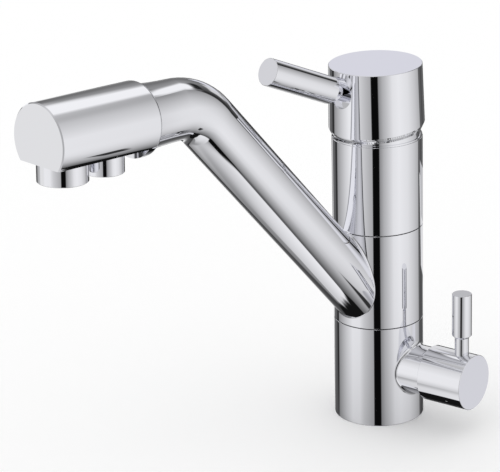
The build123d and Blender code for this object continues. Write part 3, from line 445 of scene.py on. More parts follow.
def shade_known(points, faces, flat, surfaces, normals):
    """Gives faces that lie on a known surface its normals, and says which they are."""
    known = np.zeros(len(faces), bool)
    for surface in surfaces:
        off, direction = surface(points)
        on_it = (np.abs(off) < surface_tolerance)[faces].all(axis=1)
        middle = surface(points[faces].mean(axis=1))[1]
        side = np.einsum("ij,ij->i", middle, flat)
        hit = on_it & (np.abs(side) > smooth_limit) & ~known
        normals[hit] = direction[faces[hit]] * np.sign(side[hit])[:, None, None]
        known |= hit
    return known


def corner_angles(edges):
    """The angle at each corner of each triangle."""
    back = -np.roll(edges, 1, axis=1)
    lengths = np.linalg.norm(edges, axis=2) * np.linalg.norm(back, axis=2)
    return np.arccos(np.clip(np.einsum("ijk,ijk->ij", edges, back) / lengths, -1, 1))


def faces_at(points, faces):
    """For each point, the faces that meet there, each with which of its corners it is."""
    around = [[] for _ in points]
    for face, ids in enumerate(faces):
        for corner, vertex in enumerate(ids):
            around[vertex].append((face, corner))
    return around


# %% Set the normals
def borrowed(faces, around, flat, normals, known, narrow, angles):
    """Normals in which each face that isn't known takes part of its neighbours' normals."""
    result = normals.copy()
    for face in np.flatnonzero(~known):
        limit = round_limit if narrow[face] else smooth_limit
        for corner in range(3):
            total = np.zeros(3)
            for other, place in around[faces[face, corner]]:
                barred = narrow[other] or (known[other] and not narrow[face])
                if not barred and flat[other] @ flat[face] > limit:
                    total += normals[other, place] * angles[other, place]
            size = np.linalg.norm(total)
            if size > shortest:
                result[face, corner] = total / size
    return result


def shaded(mesh, normals):
    """Smooth shading, with a normal of its own for each corner of each face."""
    mesh.polygons.foreach_set("use_smooth", [True] * len(mesh.polygons))
    mesh.normals_split_custom_set(normals)


def exact_normals(mesh, surfaces):
    """Sets the normals of a mesh of triangles, and gives how many faces are known."""
    points = np.array([vertex.co for vertex in mesh.vertices])
    faces = np.array([tuple(face.vertices) for face in mesh.polygons])
    edges = np.roll(points[faces], -1, axis=1) - points[faces]
    flat = np.cross(edges[:, 0], edges[:, 1])
    area = np.maximum(np.linalg.norm(flat, axis=1), smallest_area)
    flat /= area[:, None]
    normals = np.repeat(flat[:, None, :], 3, axis=1)
    known = shade_known(points, faces, flat, surfaces, normals)
    width = area / np.linalg.norm(edges, axis=2).max(axis=1)
    narrow = (width < edge_break_width) & ~known
    around, angles = faces_at(points, faces), corner_angles(edges)
    result = borrowed(faces, around, flat, normals, known, narrow, angles)
    shaded(mesh, result.reshape(-1, 3).tolist())
    return int(known.sum())


# %% Swap a node for its polished copy
def shown(name, data):
    """An object at the origin, in the scene."""
    thing = bpy.data.objects.new(name, data)
    bpy.context.scene.collection.objects.link(thing)
    return thing


def rides(piece, body, node=None):
    """Says which body a piece rides on, and which node it stands for."""
    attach(piece, body)
    if node:
        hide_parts(node)


def polished(node, body, *surfaces):
    """A piece that stands for a node: the same shape, shaded as the exact surfaces are."""
    mesh = merged_copy(node)
    known = exact_normals(mesh, surfaces)
    mesh.materials.append(chrome)
    rides(shown(node + "_polished", mesh), body, node)
    print(mesh.name, len(mesh.polygons), "faces,", known, "of them on a known surface")


# %% [markdown]
# ## The polished pieces
#
# Each piece is listed with the surfaces that it was turned, bent or ground to.

# %% Column, valve and knob
column = cone(origin, up, body_radius)
dome_foot = cone(origin, up, dome_foot_radius)
polished("base_body", "body", column, cone(valve_origin, valve_axis, neck_radius))
polished("swivel_collar", "spout", column)
polished("upper_body", "body", column)
polished("dome_cover", "body", ring(pivot, up, 0, dome_radius), dome_foot)
knob_side = cone(valve_origin, valve_axis, knob_radius)
polished("valve_knob", "filter_knob", knob_side, flat_face(knob_end, valve_axis))
pin_taper = (pin_radius - pin_neck_radius) / pin_taper_length
polished(
    "valve_pin",
    "filter_knob",
    cone(pin_place, up, pin_radius),
    cone(pin_place, up, pin_neck_radius),
    cone(pin_place + up * pin_taper_start, up, pin_neck_radius, pin_taper),
    flat_face(pin_top, up),
)

# %% Lever
cap_side = cone(cap_top, lever_up, cap_top_radius, cap_flare)
cap_rim_face = flat_face(cap_rim, cap_rim_way)
polished(
    "lever_cap",
    "lever",
    cap_side,
    flat_face(cap_top, lever_up),
    cone(rod_root, rod_axis, spot_face_radius),
    rolled_rim(cap_side, lever_up, cap_rim_face, cap_rim_inset, cap_rim_height),
)
rod_taper = (rod_radius - rod_neck_radius) / rod_taper_length
polished(
    "lever_rod",
    "lever",
    cone(rod_root, rod_axis, rod_radius),
    cone(rod_root, rod_axis, rod_neck_radius),
    cone(rod_root + rod_axis * rod_taper_start, rod_axis, rod_neck_radius, rod_taper),
    flat_face(rod_end, rod_axis),
)

# %% Spout and outlets
polished(
    "spout_tube",
    "spout",
    cone(bend_end, tube_up, tube_radius),
    ring(bend_centre, sideways, bend_radius, tube_radius),
    ring(bend_start, head_out, flare_radius + tube_radius, flare_radius),
)
polished(
    "spout_head",
    "spout",
    flat_face(head_front, head_out),
    flat_face(head_front + head_down * head_flat_drop, head_down),
    cone(head_front, head_out, head_radius),
    ring(head_back + head_out * head_fillet, head_out, head_radius - head_fillet, head_fillet),
    ring(head_front - head_out * head_break, head_out, head_radius - head_break, head_break),
)
polished("aerator_housing", "spout", cone(aerator_place, head_down, aerator_radius))
polished("filter_nozzle", "spout", cone(nozzle_place, head_down, nozzle_radius))

# %% [markdown]
# ## Hollow corners
#
# Where the spout's tube meets its collar, and where the valve's neck leaves the base, the real
# tap is brazed and polished, which leaves a small hollow corner. It could be drawn by hand along
# the seam, but a ball that rolls along the seam and touches both round surfaces gives exactly
# that shape. Its centre stays one ball's radius off each surface, so its path is where two
# slightly larger cylinders meet, and each section of the corner is an arc of the ball. One more
# point in each section lies inside the metal and closes the ring of the corner behind.

# %% Where the ball rolls
corner_steps = 240
corner_arcs = 8
corner_sink = 0.3 * mm


def off_column(start, axis, reach):
    """The point on a line, going out along it, at so much reach from the column's middle."""
    across, along = Vector(start[:2]), Vector(axis[:2])
    share = along.length_squared
    lean = across.dot(along)
    root = sqrt(lean**2 - share * (across.length_squared - reach**2))
    return start + axis * ((root - lean) / share)


def corner_sections(start, axis, radius, ball):
    """The corner's points and normals, section by section round a tube off the column."""
    across = axis.cross(up).normalized()
    over = across.cross(axis)
    points, normals = [], []
    for step in range(corner_steps):
        turn = radians(360) * step / corner_steps
        spoke = across * cos(turn) + over * sin(turn)
        centre = off_column(start + spoke * (radius + ball), axis, body_radius + ball)
        to_column = -Vector((centre.x, centre.y, 0)).normalized()
        for arc in range(corner_arcs + 1):
            way = (-spoke).slerp(to_column, arc / corner_arcs)
            points.append(centre + way * ball)
            normals.append(-way)
        sunk = start + spoke * (radius - corner_sink)
        points.append(off_column(sunk, axis, body_radius - corner_sink))
        normals.append(-spoke)
    return points, normals


# %% Hollow corners
tube_corner_ball = 1.1 * mm
neck_corner_ball = 2.2 * mm


def hollow_corner(name, body, start, axis, radius, ball):
    """The corner all round a tube that leaves the column, as a closed ring of metal."""
    points, normals = corner_sections(start, axis, radius, ball)
    around = corner_arcs + 2
    faces = []
    for step in range(corner_steps):
        here, ahead = step * around, (step + 1) % corner_steps * around
        for corner in range(around):
            beside = (corner + 1) % around
            faces.append((here + corner, here + beside, ahead + beside, ahead + corner))
    mesh = new_mesh(name, points, faces)
    piece = shown(name, mesh)
    middle = corner_arcs // 2
    if mesh.polygons[middle].normal.dot(normals[middle]) <= 0:
        mesh.flip_normals()
    shading = []
    for face in mesh.polygons:
        hidden = corner_arcs + 1 in [vertex % around for vertex in face.vertices]
        for vertex in face.vertices:
            shading.append(tuple(face.normal if hidden else normals[vertex]))
    shaded(mesh, shading)
    mesh.materials.append(chrome)
    rides(piece, body)
    print(name, len(faces), "faces")


hollow_corner("tube_foot_corner", "spout", bend_end, tube_up, tube_radius, tube_corner_ball)
neck_line = (valve_origin, valve_axis, neck_radius)
hollow_corner("valve_neck_corner", "body", *neck_line, neck_corner_ball)

# %% [markdown]
# ## Jets by Geometry Nodes
#
# Seen from below, each outlet is a milky plate with a pattern of small holes, six more in each
# ring than in the one inside it. It could be cut with a boolean for every hole, but a filled
# curve does it cleanly: circles inside a circle fill to a plate with holes, and an extrusion
# gives it thickness. The place of each hole follows from its number alone. Hole i lies in ring
# k = floor((3 + sqrt(12 i - 3)) / 6), and ring k starts at hole 3 k (k - 1) + 1. Hole 0 would
# need the root of -3, which the Math node takes as nothing, so it lands in the middle.

# %% Helpers for geometry trees
weld_distance = 0.001 * mm


def geometry_tree(name, counts, sizes):
    """A tree with a geometry in and out, and a named input for each count and each size."""
    tree = bpy.data.node_groups.new(name, "GeometryNodeTree")
    sockets = [("INPUT", "Geometry", "Geometry")]
    sockets += [("INPUT", label, "Int") for label in counts]
    sockets += [("INPUT", label, "Float") for label in sizes]
    for way, label, kind in sockets + [("OUTPUT", "Geometry", "Geometry")]:
        tree.interface.new_socket(name=label, in_out=way, socket_type="NodeSocket" + kind)
    return tree, tree.nodes.new("NodeGroupInput").outputs, tree.nodes.new("NodeGroupOutput")


def maths(operation, *values):
    """A Math node on sockets or numbers, in the tree of the first one, and its result."""
    tree = values[0].id_data
    node = tree.nodes.new("ShaderNodeMath")
    node.operation = operation
    for slot, value in zip(node.inputs, values):
        put(tree, slot, value)
    return node.outputs[0]


def joined(*parts):
    """Several geometries of a tree as one."""
    tree = parts[0].id_data
    node = tree.nodes.new("GeometryNodeJoinGeometry")
    for part in parts:
        tree.links.new(part, node.inputs[0])
    return node.outputs[0]


def circle(radius, points):
    """A round curve with so many points."""
    kind = "GeometryNodeCurvePrimitiveCircle"
    return made(radius.id_data, kind, "Curve", Resolution=points, Radius=radius)


def plate(outline, height, start=None):
    """Fills an outline with its holes and gives it a height, as a closed shell."""
    tree = outline.id_data
    face = made(tree, "GeometryNodeFillCurve", "Mesh", Curve=outline)
    sizes = {"Individual": False, "Offset_Scale": height}
    raised = made(tree, "GeometryNodeExtrudeMesh", "Mesh", Mesh=face, **sizes)
    turned = made(tree, "GeometryNodeFlipFaces", "Mesh", Mesh=face)
    sizes = {"Distance": weld_distance, "Geometry": joined(raised, turned)}
    shell = made(tree, "GeometryNodeMergeByDistance", "Geometry", **sizes)
    if start is None:
        return shell
    offset = made(tree, "ShaderNodeCombineXYZ", "Vector", Z=start)
    return made(tree, "GeometryNodeSetPosition", "Geometry", Geometry=shell, Offset=offset)


def finished(tree, geometry, material, result):
    """Ends a tree with real geometry that carries its material."""
    real = made(tree, "GeometryNodeRealizeInstances", "Geometry", Geometry=geometry)
    sizes = {"Geometry": real, "Material": material}
    filled(tree, result, Geometry=made(tree, "GeometryNodeSetMaterial", "Geometry", **sizes))


# %% The jet plate's tree
jet_points = 20
wall_points = 96


def jet_places(tree, given):
    """A point for each jet, in the rings that the text above gives."""
    number = made(tree, "GeometryNodeInputIndex", "Index")
    under_root = maths("SUBTRACT", maths("MULTIPLY", number, 12), 3)
    root = maths("ADD", maths("SQRT", under_root), 3)
    ring_number = maths("FLOOR", maths("DIVIDE", root, 6))
    below = maths("MULTIPLY", ring_number, maths("SUBTRACT", ring_number, 1))
    first = maths("ADD", maths("MULTIPLY", below, 3), 1)
    in_ring = maths("MULTIPLY", ring_number, 6)
    share = maths("DIVIDE", maths("SUBTRACT", number, first), in_ring)
    angle = maths("MULTIPLY", share, radians(360))
    reach = maths("MULTIPLY", ring_number, given["Pitch"])
    across = maths("MULTIPLY", reach, maths("COSINE", angle))
    over = maths("MULTIPLY", reach, maths("SINE", angle))
    place = made(tree, "ShaderNodeCombineXYZ", "Vector", X=across, Y=over)
    return made(tree, "GeometryNodePoints", "Points", Count=given["Jets"], Position=place)


def jet_circles(tree, places, radius):
    """One circle at each jet's place, as real curves."""
    parts = {"Points": places, "Instance": circle(radius, jet_points)}
    copies = made(tree, "GeometryNodeInstanceOnPoints", "Instances", **parts)
    return made(tree, "GeometryNodeRealizeInstances", "Geometry", Geometry=copies)


def jet_plate_tree():
    """An outlet's insert: a perforated plate inside a wall, with a raised lip round each jet."""
    sizes = ["Pitch", "Jet Radius", "Lip Width", "Lip Height"]
    sizes += ["Outer Radius", "Wall", "Plate Thickness", "Height"]
    tree, given, result = geometry_tree("jet_plate", ["Jets"], sizes)
    places = jet_places(tree, given)
    inner = maths("SUBTRACT", given["Outer Radius"], given["Wall"])
    plate_start = maths("SUBTRACT", given["Height"], given["Plate Thickness"])
    lip_radius = maths("ADD", given["Jet Radius"], given["Lip Width"])
    holes = jet_circles(tree, places, given["Jet Radius"])
    outside = circle(given["Outer Radius"], wall_points)
    wall = joined(outside, circle(inner, wall_points))
    perforated = joined(circle(inner, wall_points), holes)
    lips = joined(jet_circles(tree, places, lip_radius), holes)
    parts = [
        plate(wall, given["Height"]),
        plate(perforated, given["Plate Thickness"], plate_start),
        plate(lips, given["Lip Height"], given["Height"]),
    ]
    finished(tree, joined(*parts), milky_plastic, result)
    return tree


# %% Grow a piece from a tree
def grown(name, tree, sizes, points, place, body, node, slot):
    """Runs a tree on a few points, keeps the plain mesh, and puts it in its place."""
    piece = shown(name, new_mesh(name + "_points", points, []))
    modifier = piece.modifiers.new(name, "NODES")
    modifier.node_group = tree
    for socket in tree.interface.items_tree:
        if socket.in_out == "INPUT" and socket.name in sizes:
            modifier[socket.identifier] = sizes[socket.name]
    graph = bpy.context.evaluated_depsgraph_get()
    mesh = bpy.data.meshes.new_from_object(piece.evaluated_get(graph))
    piece.modifiers.clear()
    mesh.transform(place)
    piece.data = mesh
    rides(piece, body, node)
    print(name, len(mesh.polygons), "faces")


def set_on(place, outwards):
    """A place for a piece that was made flat at the origin: its Z axis looks outwards."""
    across = outwards.cross(sideways).normalized()
    turn = Matrix((sideways, across, outwards)).transposed().to_4x4()
    return Matrix.Translation(place) @ turn


# %% Inserts of the aerator and the nozzle
insert_height = 6.0 * mm
insert_recess = 0.6 * mm
jet_sizes = {
    "Pitch": 2.3 * mm,
    "Jet Radius": 0.75 * mm,
    "Lip Width": 0.2 * mm,
    "Lip Height": 0.25 * mm,
    "Wall": 1.35 * mm,
    "Plate Thickness": 2.0 * mm,
    "Height": insert_height,
}
outlets = {
    "aerator_insert": (aerator_place, 10.4 * mm, {"Jets": 37, "Outer Radius": 10.75 * mm}),
    "nozzle_insert": (nozzle_place, 11.2 * mm, {"Jets": 19, "Outer Radius": 7.95 * mm}),
}
jet_tree = jet_plate_tree()
for node, (outlet_place, outlet_length, own_sizes) in outlets.items():
    start = outlet_place + head_down * (outlet_length - insert_recess - insert_height)
    place = set_on(start, head_down)
    sizes = {**jet_sizes, **own_sizes}
    grown(node + "_jets", jet_tree, sizes, [(0, 0, 0)], place, "spout", node, "insert_plastic")

# %% [markdown]
# ## O-rings by Geometry Nodes
#
# Three O-rings seal the ring grooves of the core. Each could be a torus of its own, but one
# tree makes them all: a point marks the height of each one, and the tree sweeps a small circle
# round a large one at every point.

# %% O-rings
ring_turns = 128
section_points = 20
core_radius = 21.0 * mm
section_radius = 1.65 * mm / 2
groove_heights = (12.0, 27.6, 49.0)


def ring_tree():
    """A ring of round section at each point of what comes in."""
    tree, given, result = geometry_tree("o_ring", [], ["Ring Radius", "Section Radius"])
    path = circle(given["Ring Radius"], ring_turns)
    section = circle(given["Section Radius"], section_points)
    sweep = made(tree, "GeometryNodeCurveToMesh", "Mesh", Curve=path, Profile_Curve=section)
    smooth = made(tree, "GeometryNodeSetShadeSmooth", "Geometry", Geometry=sweep)
    parts = {"Points": given["Geometry"], "Instance": smooth}
    copies = made(tree, "GeometryNodeInstanceOnPoints", "Instances", **parts)
    finished(tree, copies, rubber, result)
    return tree


collar_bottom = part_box("swivel_collar")[0][2]
ring_sizes = {"Ring Radius": core_radius - section_radius, "Section Radius": section_radius}
ring_places = [(0, 0, collar_bottom + height * mm) for height in groove_heights]
rubber_rings = ("body", "collar_o_rings", "rubber")
grown("core_o_rings", ring_tree(), ring_sizes, ring_places, Matrix(), *rubber_rings)

# %% [markdown]
# ## Camera
#
# The camera was found by fitting the tap's straight edges and circles. It stands in front and to
# the right, a little above the tap, far away and with a long lens.

# %% Camera
camera_place = Vector((940.27, -960.58, 575.64)) * mm
camera_right = Vector((0.68265, 0.73035, -0.02398))
camera_up = Vector((-0.22590, 0.24213, 0.94358))
image_width = 500
focal_pixels = 2562
camera_data = bpy.data.cameras.new("photo_camera")
camera_data.sensor_fit = "HORIZONTAL"
camera_data.lens = camera_data.sensor_width * focal_pixels / image_width
camera = shown("photo_camera", camera_data)
camera_back = camera_right.cross(camera_up).normalized()
camera_axes = Matrix((camera_right, camera_back.cross(camera_right), camera_back)).transposed()
camera.matrix_world = Matrix.Translation(camera_place) @ camera_axes.to_4x4()
bpy.context.scene.camera = camera
bpy.context.scene.view_settings.view_transform = "Standard"
print("lens", round(camera_data.lens, 1), "mm")

# %% [markdown]
# ## The studio
#
# Chrome has no look of its own: it shows the room. Taps are photographed inside a tent of white
# cloth, lit from outside, and the lens looks in through a slit. So the metal shows soft pale
# sheets that are brightest where the lamps stand, one black line where the slit is, and a grey
# backdrop where the cloth hangs open behind. Here the tent is a real mesh, and each corner of it
# carries how bright the cloth is there. Only reflections see it: the camera looks past it to a
# plain white room.
#
# The tent is described as a person would hang it. Angles run round the column in degrees, with
# 0 in front and 90 on the valve's side. Rise is the angle above the tent's middle, and reach is
# the distance from the column on the tent's floor. A cloth is one tone between 0 for black and 1
# for white, or a row of pins, each an angle and a tone, and goes smoothly from pin to pin. The
# ranges that it covers each have a low edge, a high edge and a softness.

# %% Tools for soft light
no_low, no_high = -np.inf, np.inf
anywhere = (no_low, no_high, 1)
fade_start = 10


def pinned(pins, angle):
    """The tone of a cloth that is pinned at a few angles."""
    return np.interp(angle, [pin[0] for pin in pins], [pin[1] for pin in pins])


def soft_step(value, edge, blur):
    """0 below an edge and 1 above it, with a soft change as wide as the blur."""
    share = np.clip((value - edge) / blur + 0.5, 0, 1)
    return share * share * (3 - 2 * share)


def between(value, low, high, blur):
    """1 between two edges and 0 outside them, with soft edges."""
    return soft_step(value, low, blur) * (1 - soft_step(value, high, blur))


def blended(below, above, share):
    """One tone going over into another."""
    return below * (1 - share) + above * share


def hung(tone, place, cloth, angles=anywhere, rises=anywhere, reaches=anywhere, fade=0.0):
    """Hangs a cloth, which may get darker as it rises, in front of what is there."""
    angle, rise, reach = place
    share = between(angle, *angles) * between(rise, *rises) * between(reach, *reaches)
    own_tone = cloth if isinstance(cloth, float) else pinned(cloth, angle)
    return blended(tone, own_tone - fade * np.maximum(rise - fade_start, 0), share)


# %% [markdown]
# ## The cloth behind
#
# Behind the tap hangs a grey backdrop that glows a little towards its top, with a dark rail at
# the head of it and dark gaps beside it, where the room shows between two cloths. A white sheet
# lies low behind the tap and lights its underside. Beyond it the backdrop's dark foot shows as
# the thin dark line along every outline of the metal, and a small lamp behind the backdrop draws
# the bright line on top of the lever's rod.

# %% Backdrop
backdrop = ((-180, 0.28), (-156, 0.41), (-120, 0.44), (-88, 0.36))
glow_slope = 0.007
glow_start = 26
glow_height = 26
glow_angles = (-160, -90, 20)
rail = dict(cloth=0.15, angles=(-200, -152, 16), rises=(40, 47, 4))
low_sheet = dict(
    cloth=0.93, angles=(-154, -108, 12), rises=(no_low, 6, 14),
    reaches=(260 * mm, no_high, 360 * mm),
)
foot = dict(
    cloth=0.25, angles=(-156, -116, 6), rises=(no_low, 4, 3),
    reaches=(420 * mm, no_high, 60 * mm),
)
left_gap = dict(
    cloth=0.2, angles=(-86, -76, 3), rises=(no_low, 0, 6),
    reaches=(210 * mm, no_high, 140 * mm),
)
back_gap = dict(cloth=0.2, angles=(168, 190, 6), rises=(4, 40, 6))
small_lamp = dict(cloth=0.8, angles=(-172, -150, 6), rises=(14, 30, 6))


def backdrop_tone(place):
    """The backdrop's tone, with all that hangs or stands by it."""
    angle, rise, _ = place
    glow = glow_slope * np.clip(rise - glow_start, 0, glow_height)
    tone = pinned(backdrop, angle) + glow * between(angle, *glow_angles)
    for cloth in (rail, low_sheet, foot, left_gap, back_gap, small_lamp):
        tone = hung(tone, place, **cloth)
    return tone


# %% [markdown]
# ## The ceiling and the two sheets in front
#
# Over everything hangs the bright ceiling. Its edge drops towards the left, because the large
# lamp there leans in. The left sheet goes from the gap round the front to the slit, and the right
# sheet goes on from the slit past the valve. Both are brightest in their middle, where a lamp
# stands behind them, and get a little darker as they rise.

# %% Ceiling and sheets
ceiling = (
    (-180, 0.94), (-72, 0.95), (-50, 0.83), (80, 0.84), (125, 0.68), (160, 0.72), (180, 0.94),
)
ceiling_edges = ((-150, 50), (-136, 52), (-122, 47), (-108, 22), (-96, 9), (-80, 1))
edge_blur = 5
more_edge_blur = 7
more_blur_angles = (-148, -110, 16)
left_ceiling = dict(cloth=ceiling, angles=(no_low, 39.8, 0.1))
right_ceiling = dict(cloth=ceiling, angles=(40.2, no_high, 0.1), rises=(50, no_high, 12))
left_pins = (
    (-76, 0.55), (-61, 0.67), (-43, 0.80), (-24, 0.91), (-4, 0.90), (8, 0.79), (30, 0.66),
)
right_pins = (
    (48, 0.50), (60, 0.68), (84, 0.88), (100, 0.91), (126, 0.87), (150, 0.77), (170, 0.66),
)
left_sheet = dict(
    cloth=left_pins, angles=(-75.5, 33, 2.5), rises=(no_low, 56, 20), fade=0.003
)
right_sheet = dict(cloth=right_pins, angles=(48, 169, 3), rises=(no_low, 60, 16), fade=0.003)


def with_sheets(tone, place):
    """Hangs the ceiling and the two sheets in front of the cloth behind."""
    angle = place[0]
    blur = edge_blur + more_edge_blur * between(angle, *more_blur_angles)
    overhead = (pinned(ceiling_edges, angle), no_high, blur)
    tone = hung(tone, place, rises=overhead, **left_ceiling)
    for cloth in (left_sheet, right_ceiling, right_sheet):
        tone = hung(tone, place, **cloth)
    return tone


# %% [markdown]
# ## The table and the shade round the base
#
# The tap stands a little above the table's cloth, and the spout's tube looks straight down on it.
# Round the base a dark patch of shade is painted on the cloth. It is not round: it reaches
# furthest to the left and towards the lens. A softer painted shade spreads from it over the cloth
# behind and to the right. In front of it the cloth is lit from close by, up to a painted strip of
# shade that runs towards the lens.

# %% Table
# Painted shade round the base: a dark patch, whose edge is given in millimetres at each angle,
# and a softer shade that fades outwards from it.
base_shade_edges = (
    (-180, 30), (-140, 40), (-118, 90), (-103, 120), (-79, 84), (-53, 53), (-20, 43),
    (20, 44), (38, 55), (44, 64), (57, 62), (72, 38), (90, 30),
)
base_shade_tone = 0.1
base_shade_blur = 6 * mm
shade_depth = 0.5
shade_start = 40 * mm
shade_length = 110 * mm
front_reach = 178 * mm
front_cloth = dict(
    cloth=((-60, 0.52), (-27, 0.63), (0, 0.76), (36, 0.88)),
    angles=(-70, 43, 3), reaches=(no_low, front_reach, 26 * mm),
)
close_cloth = ((-46, 0.78), (-24, 0.82), (2, 0.86), (36, 0.91))
close_reach = dict(edge=125 * mm, blur=70 * mm)
close_right_end = dict(edge=43, blur=3)
close_left_end = -66
close_left_turn = 20
close_left_blur = 6
close_turn_reach = dict(edge=78 * mm, blur=40 * mm)
# A strip of painted shade that runs towards the lens, at the edge of the lit cloth close to the
# base.
shade_strip = dict(cloth=0.36, angles=(44, 52, 4), reaches=(no_low, front_reach, 14 * mm))
valve_shadow = dict(cloth=0.2, angles=(90, 101, 4), reaches=(100 * mm, 150 * mm, 12 * mm))


def with_table(tone, place):
    """Lays the lit cloth, a strip of painted shade, the valve's painted shadow and the painted
    shade round the base.
    """
    angle, _, reach = place
    shade = shade_depth * np.exp(-np.maximum(reach - shade_start, 0) / shade_length)
    tone = hung(tone * (1 - shade), place, **front_cloth)
    left_end = close_left_end + close_left_turn * soft_step(reach, **close_turn_reach)
    close = soft_step(angle, left_end, close_left_blur) * (1 - soft_step(reach, **close_reach))
    close = close * (1 - soft_step(angle, **close_right_end))
    tone = blended(tone, pinned(close_cloth, angle), close)
    tone = hung(hung(tone, place, **shade_strip), place, **valve_shadow)
    # The dark painted shade round the base lies over everything else on the table.
    base_shade_edge = pinned(base_shade_edges, angle) * mm
    return blended(base_shade_tone, tone, soft_step(reach, base_shade_edge, base_shade_blur))


# %% [markdown]
# ## The slit
#
# Last comes the slit that the lens looks through. It is the black line that runs down the whole
# column, and it starts on the table a hand's breadth from the painted shade round the base.

# %% All of the tent
slit = dict(
    cloth=0.07, angles=(33, 49.5, 3), rises=(no_low, 12, 10),
    reaches=(front_reach, no_high, 14 * mm),
)


def tent_tone(place):
    """How bright the tent is at a place, which is an angle, a rise and a reach."""
    tone = with_table(with_sheets(backdrop_tone(place), place), place)
    return hung(tone, place, **slit)


# %% [markdown]
# ## Building the tent
#
# The tent is one surface of rings: a flat table round the tap's base, then a ball that starts
# where the table meets it. A tone that looks even to the eye is not even in light, so a tone
# becomes
# light by the power 2.2, and it is divided by what chrome reflects.

# %% Light for reflections only
chrome_reflectance = 0.87
brightest_tone = 1.2
eye_power = 2.2


def as_light(tone):
    """The light that a tone stands for, once chrome has reflected it."""
    return np.clip(tone, 0, brightest_tone) ** eye_power / chrome_reflectance


def seen_in_metal_only(piece):
    """Keeps a studio piece out of everything but reflections."""
    for rays in ("camera", "diffuse", "transmission", "shadow"):
        setattr(piece, "visible_" + rays, False)


def glowing(name):
    """A material that only gives off light, with its tree and its emission node."""
    material, tree, shader = new_material(name)
    tree.nodes.remove(shader)
    glow = tree.nodes.new("ShaderNodeEmission")
    filled(tree, tree.nodes["Material Output"], Surface=glow.outputs["Emission"])
    material.cycles.emission_sampling = "NONE"
    return material, tree, glow


def glowing_cloth():
    """A cloth that gives off the light written on its corners."""
    material, tree, glow = glowing("tent_cloth")
    written = tree.nodes.new("ShaderNodeAttribute")
    written.attribute_name = "light"
    filled(tree, glow, Color=written.outputs["Color"])
    return material


# %% The tent's rows
tent_radius = 820 * mm
tent_centre = Vector((0, 0, 120 * mm))
tent_floor = -70 * mm
tent_crown = 89.5
turn_step = 0.5
close_rows = (1 * mm, 200 * mm, 100)
far_row_start = 210 * mm
far_row_count = 30
ball_row_count = 180


def tent_rows():
    """Each row's radius, height, rise and reach, from under the tap out and up to the crown."""
    floor_angle = np.degrees(np.arcsin((tent_floor - tent_centre.z) / tent_radius))
    floor_edge = tent_radius * cos(radians(floor_angle))
    far_reaches = np.linspace(far_row_start, floor_edge, far_row_count)
    floor_reaches = np.concatenate([np.linspace(*close_rows), far_reaches])
    rows = [(reach, tent_floor, floor_angle, reach) for reach in floor_reaches]
    for angle in np.linspace(floor_angle, tent_crown, ball_row_count)[1:]:
        height = tent_centre.z + tent_radius * sin(radians(angle))
        rows.append((tent_radius * cos(radians(angle)), height, angle, tent_radius))
    return rows


# %% The tent
def tent():
    """The tent's mesh, with the light on its corners."""
    turns = np.arange(-180, 180, turn_step)
    rows = tent_rows()
    points, light = [], []
    for radius, height, angle, reach in rows:
        around = np.radians(turns)
        level = np.full(len(turns), height)
        row = np.stack([radius * np.sin(around), -radius * np.cos(around), level], axis=1)
        points.append(row)
        light.append(as_light(tent_tone((turns, np.full(len(turns), angle), reach))))
    row_starts = np.arange(len(rows) - 1)[:, None] * len(turns)
    along = np.arange(len(turns))[None, :]
    here = row_starts + along
    beside = row_starts + (along + 1) % len(turns)
    corners = [here, here + len(turns), beside + len(turns), beside]
    faces = np.stack(corners, axis=2).reshape(-1, 4)
    mesh = new_mesh("light_tent", np.concatenate(points).tolist(), faces.tolist())
    grey = np.repeat(np.concatenate(light)[:, None], 4, axis=1)
    grey[:, 3] = 1
    attribute = mesh.attributes.new("light", "FLOAT_COLOR", "POINT")
    attribute.data.foreach_set("color", grey.astype(np.float32).ravel())
    mesh.materials.append(glowing_cloth())
    seen_in_metal_only(shown("light_tent", mesh))
    print("tent of", len(faces), "faces")


tent()

# %% [markdown]
# ## Small cards
#
# A flat polished face shows one small patch of the room, and for the cap's top that patch would
# be the dark backdrop. A photographer slips in a small card just where that face reflects it
# into the lens. The place follows from the law of mirrors, so it is worked out here. Each card
# is a little larger than its face needs and stands well away from it, so the other pieces
# hardly see it.

# %% Cards
square = ((-1, -1), (1, -1), (1, 1), (-1, 1))


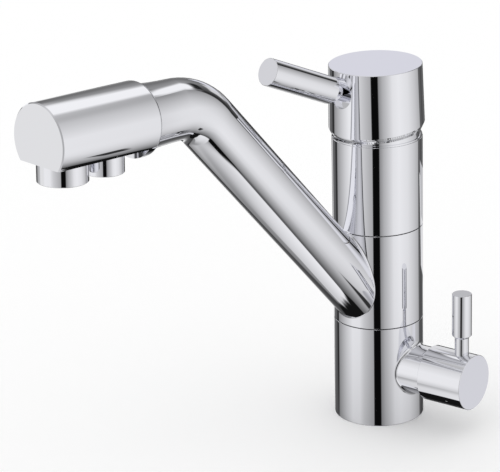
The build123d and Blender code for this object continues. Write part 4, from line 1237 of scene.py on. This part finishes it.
def card(name, face_centre, face_normal, distance, width, height, colour):
    """A small bright card where a flat face reflects it into the camera."""
    sight = (face_centre - camera_place).normalized()
    way = sight - 2 * sight.dot(face_normal) * face_normal
    centre = face_centre + way * distance
    right = way.cross(up).normalized()
    rise = right.cross(way)
    corners = [centre + right * width * x / 2 + rise * height * y / 2 for x, y in square]
    mesh = new_mesh(name, corners, [(0, 1, 2, 3)])
    material, tree, glow = glowing(name)
    filled(tree, glow, Color=(*colour, 1))
    mesh.materials.append(material)
    seen_in_metal_only(shown(name, mesh))
    print(name, "at", tuple(round(part, 3) for part in centre))


# Each row: the face's middle and direction, then distance, width and height in millimetres.
knob_top = valve_origin + valve_axis * 47 * mm + up * knob_radius
cards = {
    "cap_card": (cap_top, lever_up, 250, 140, 60, (0.75, 0.75, 0.81)),
    "rod_card": (rod_end, rod_axis, 200, 26, 26, (0.74, 0.74, 0.75)),
    "knob_card": (knob_top, up, 100, 90, 70, (0.78, 0.78, 0.78)),
    "knob_end_card": (knob_end, valve_axis, 180, 42, 42, (0.73, 0.73, 0.76)),
    "pin_card": (pin_top, up, 85, 40, 40, (0.55, 0.55, 0.56)),
    "head_card": (head_front, head_out, 250, 100, 100, (0.85, 0.85, 0.84)),
}
for name, (centre, normal, distance, width, height, colour) in cards.items():
    card(name, centre, normal, distance * mm, width * mm, height * mm, colour)

# %% [markdown]
# ## Floor and light
#
# The tap stands on a plain white floor under an even white sky, which lights every side alike
# and leaves only a soft shadow. Lamps could light it too, but each would show in the chrome as
# a hot spot. The floor is matt and stays out of reflections, because what the metal shows below
# it is the table of the tent.

# %% Floor
half = 3.0
floor_mesh = new_mesh("floor", [(half * x, half * y, 0) for x, y in square], [(0, 1, 2, 3)])
white_floor, floor_tree, floor_shader = new_material("white_floor")
matt_white = {"Base_Color": (1.0, 1.0, 1.0, 1), "Specular_IOR_Level": 0.0, "Roughness": 1.0}
filled(floor_tree, floor_shader, **matt_white)
floor_mesh.materials.append(white_floor)
floor = shown("floor", floor_mesh)
floor.visible_glossy = False
print("floor", 2 * half, "m wide")

# %% World
world = bpy.data.worlds.new("studio")
bpy.context.scene.world = world
world.use_nodes = True
sky = filled(world.node_tree, world.node_tree.nodes["Background"], Color=(1, 1, 1, 1))
print("sky of strength", sky.inputs["Strength"].default_value)
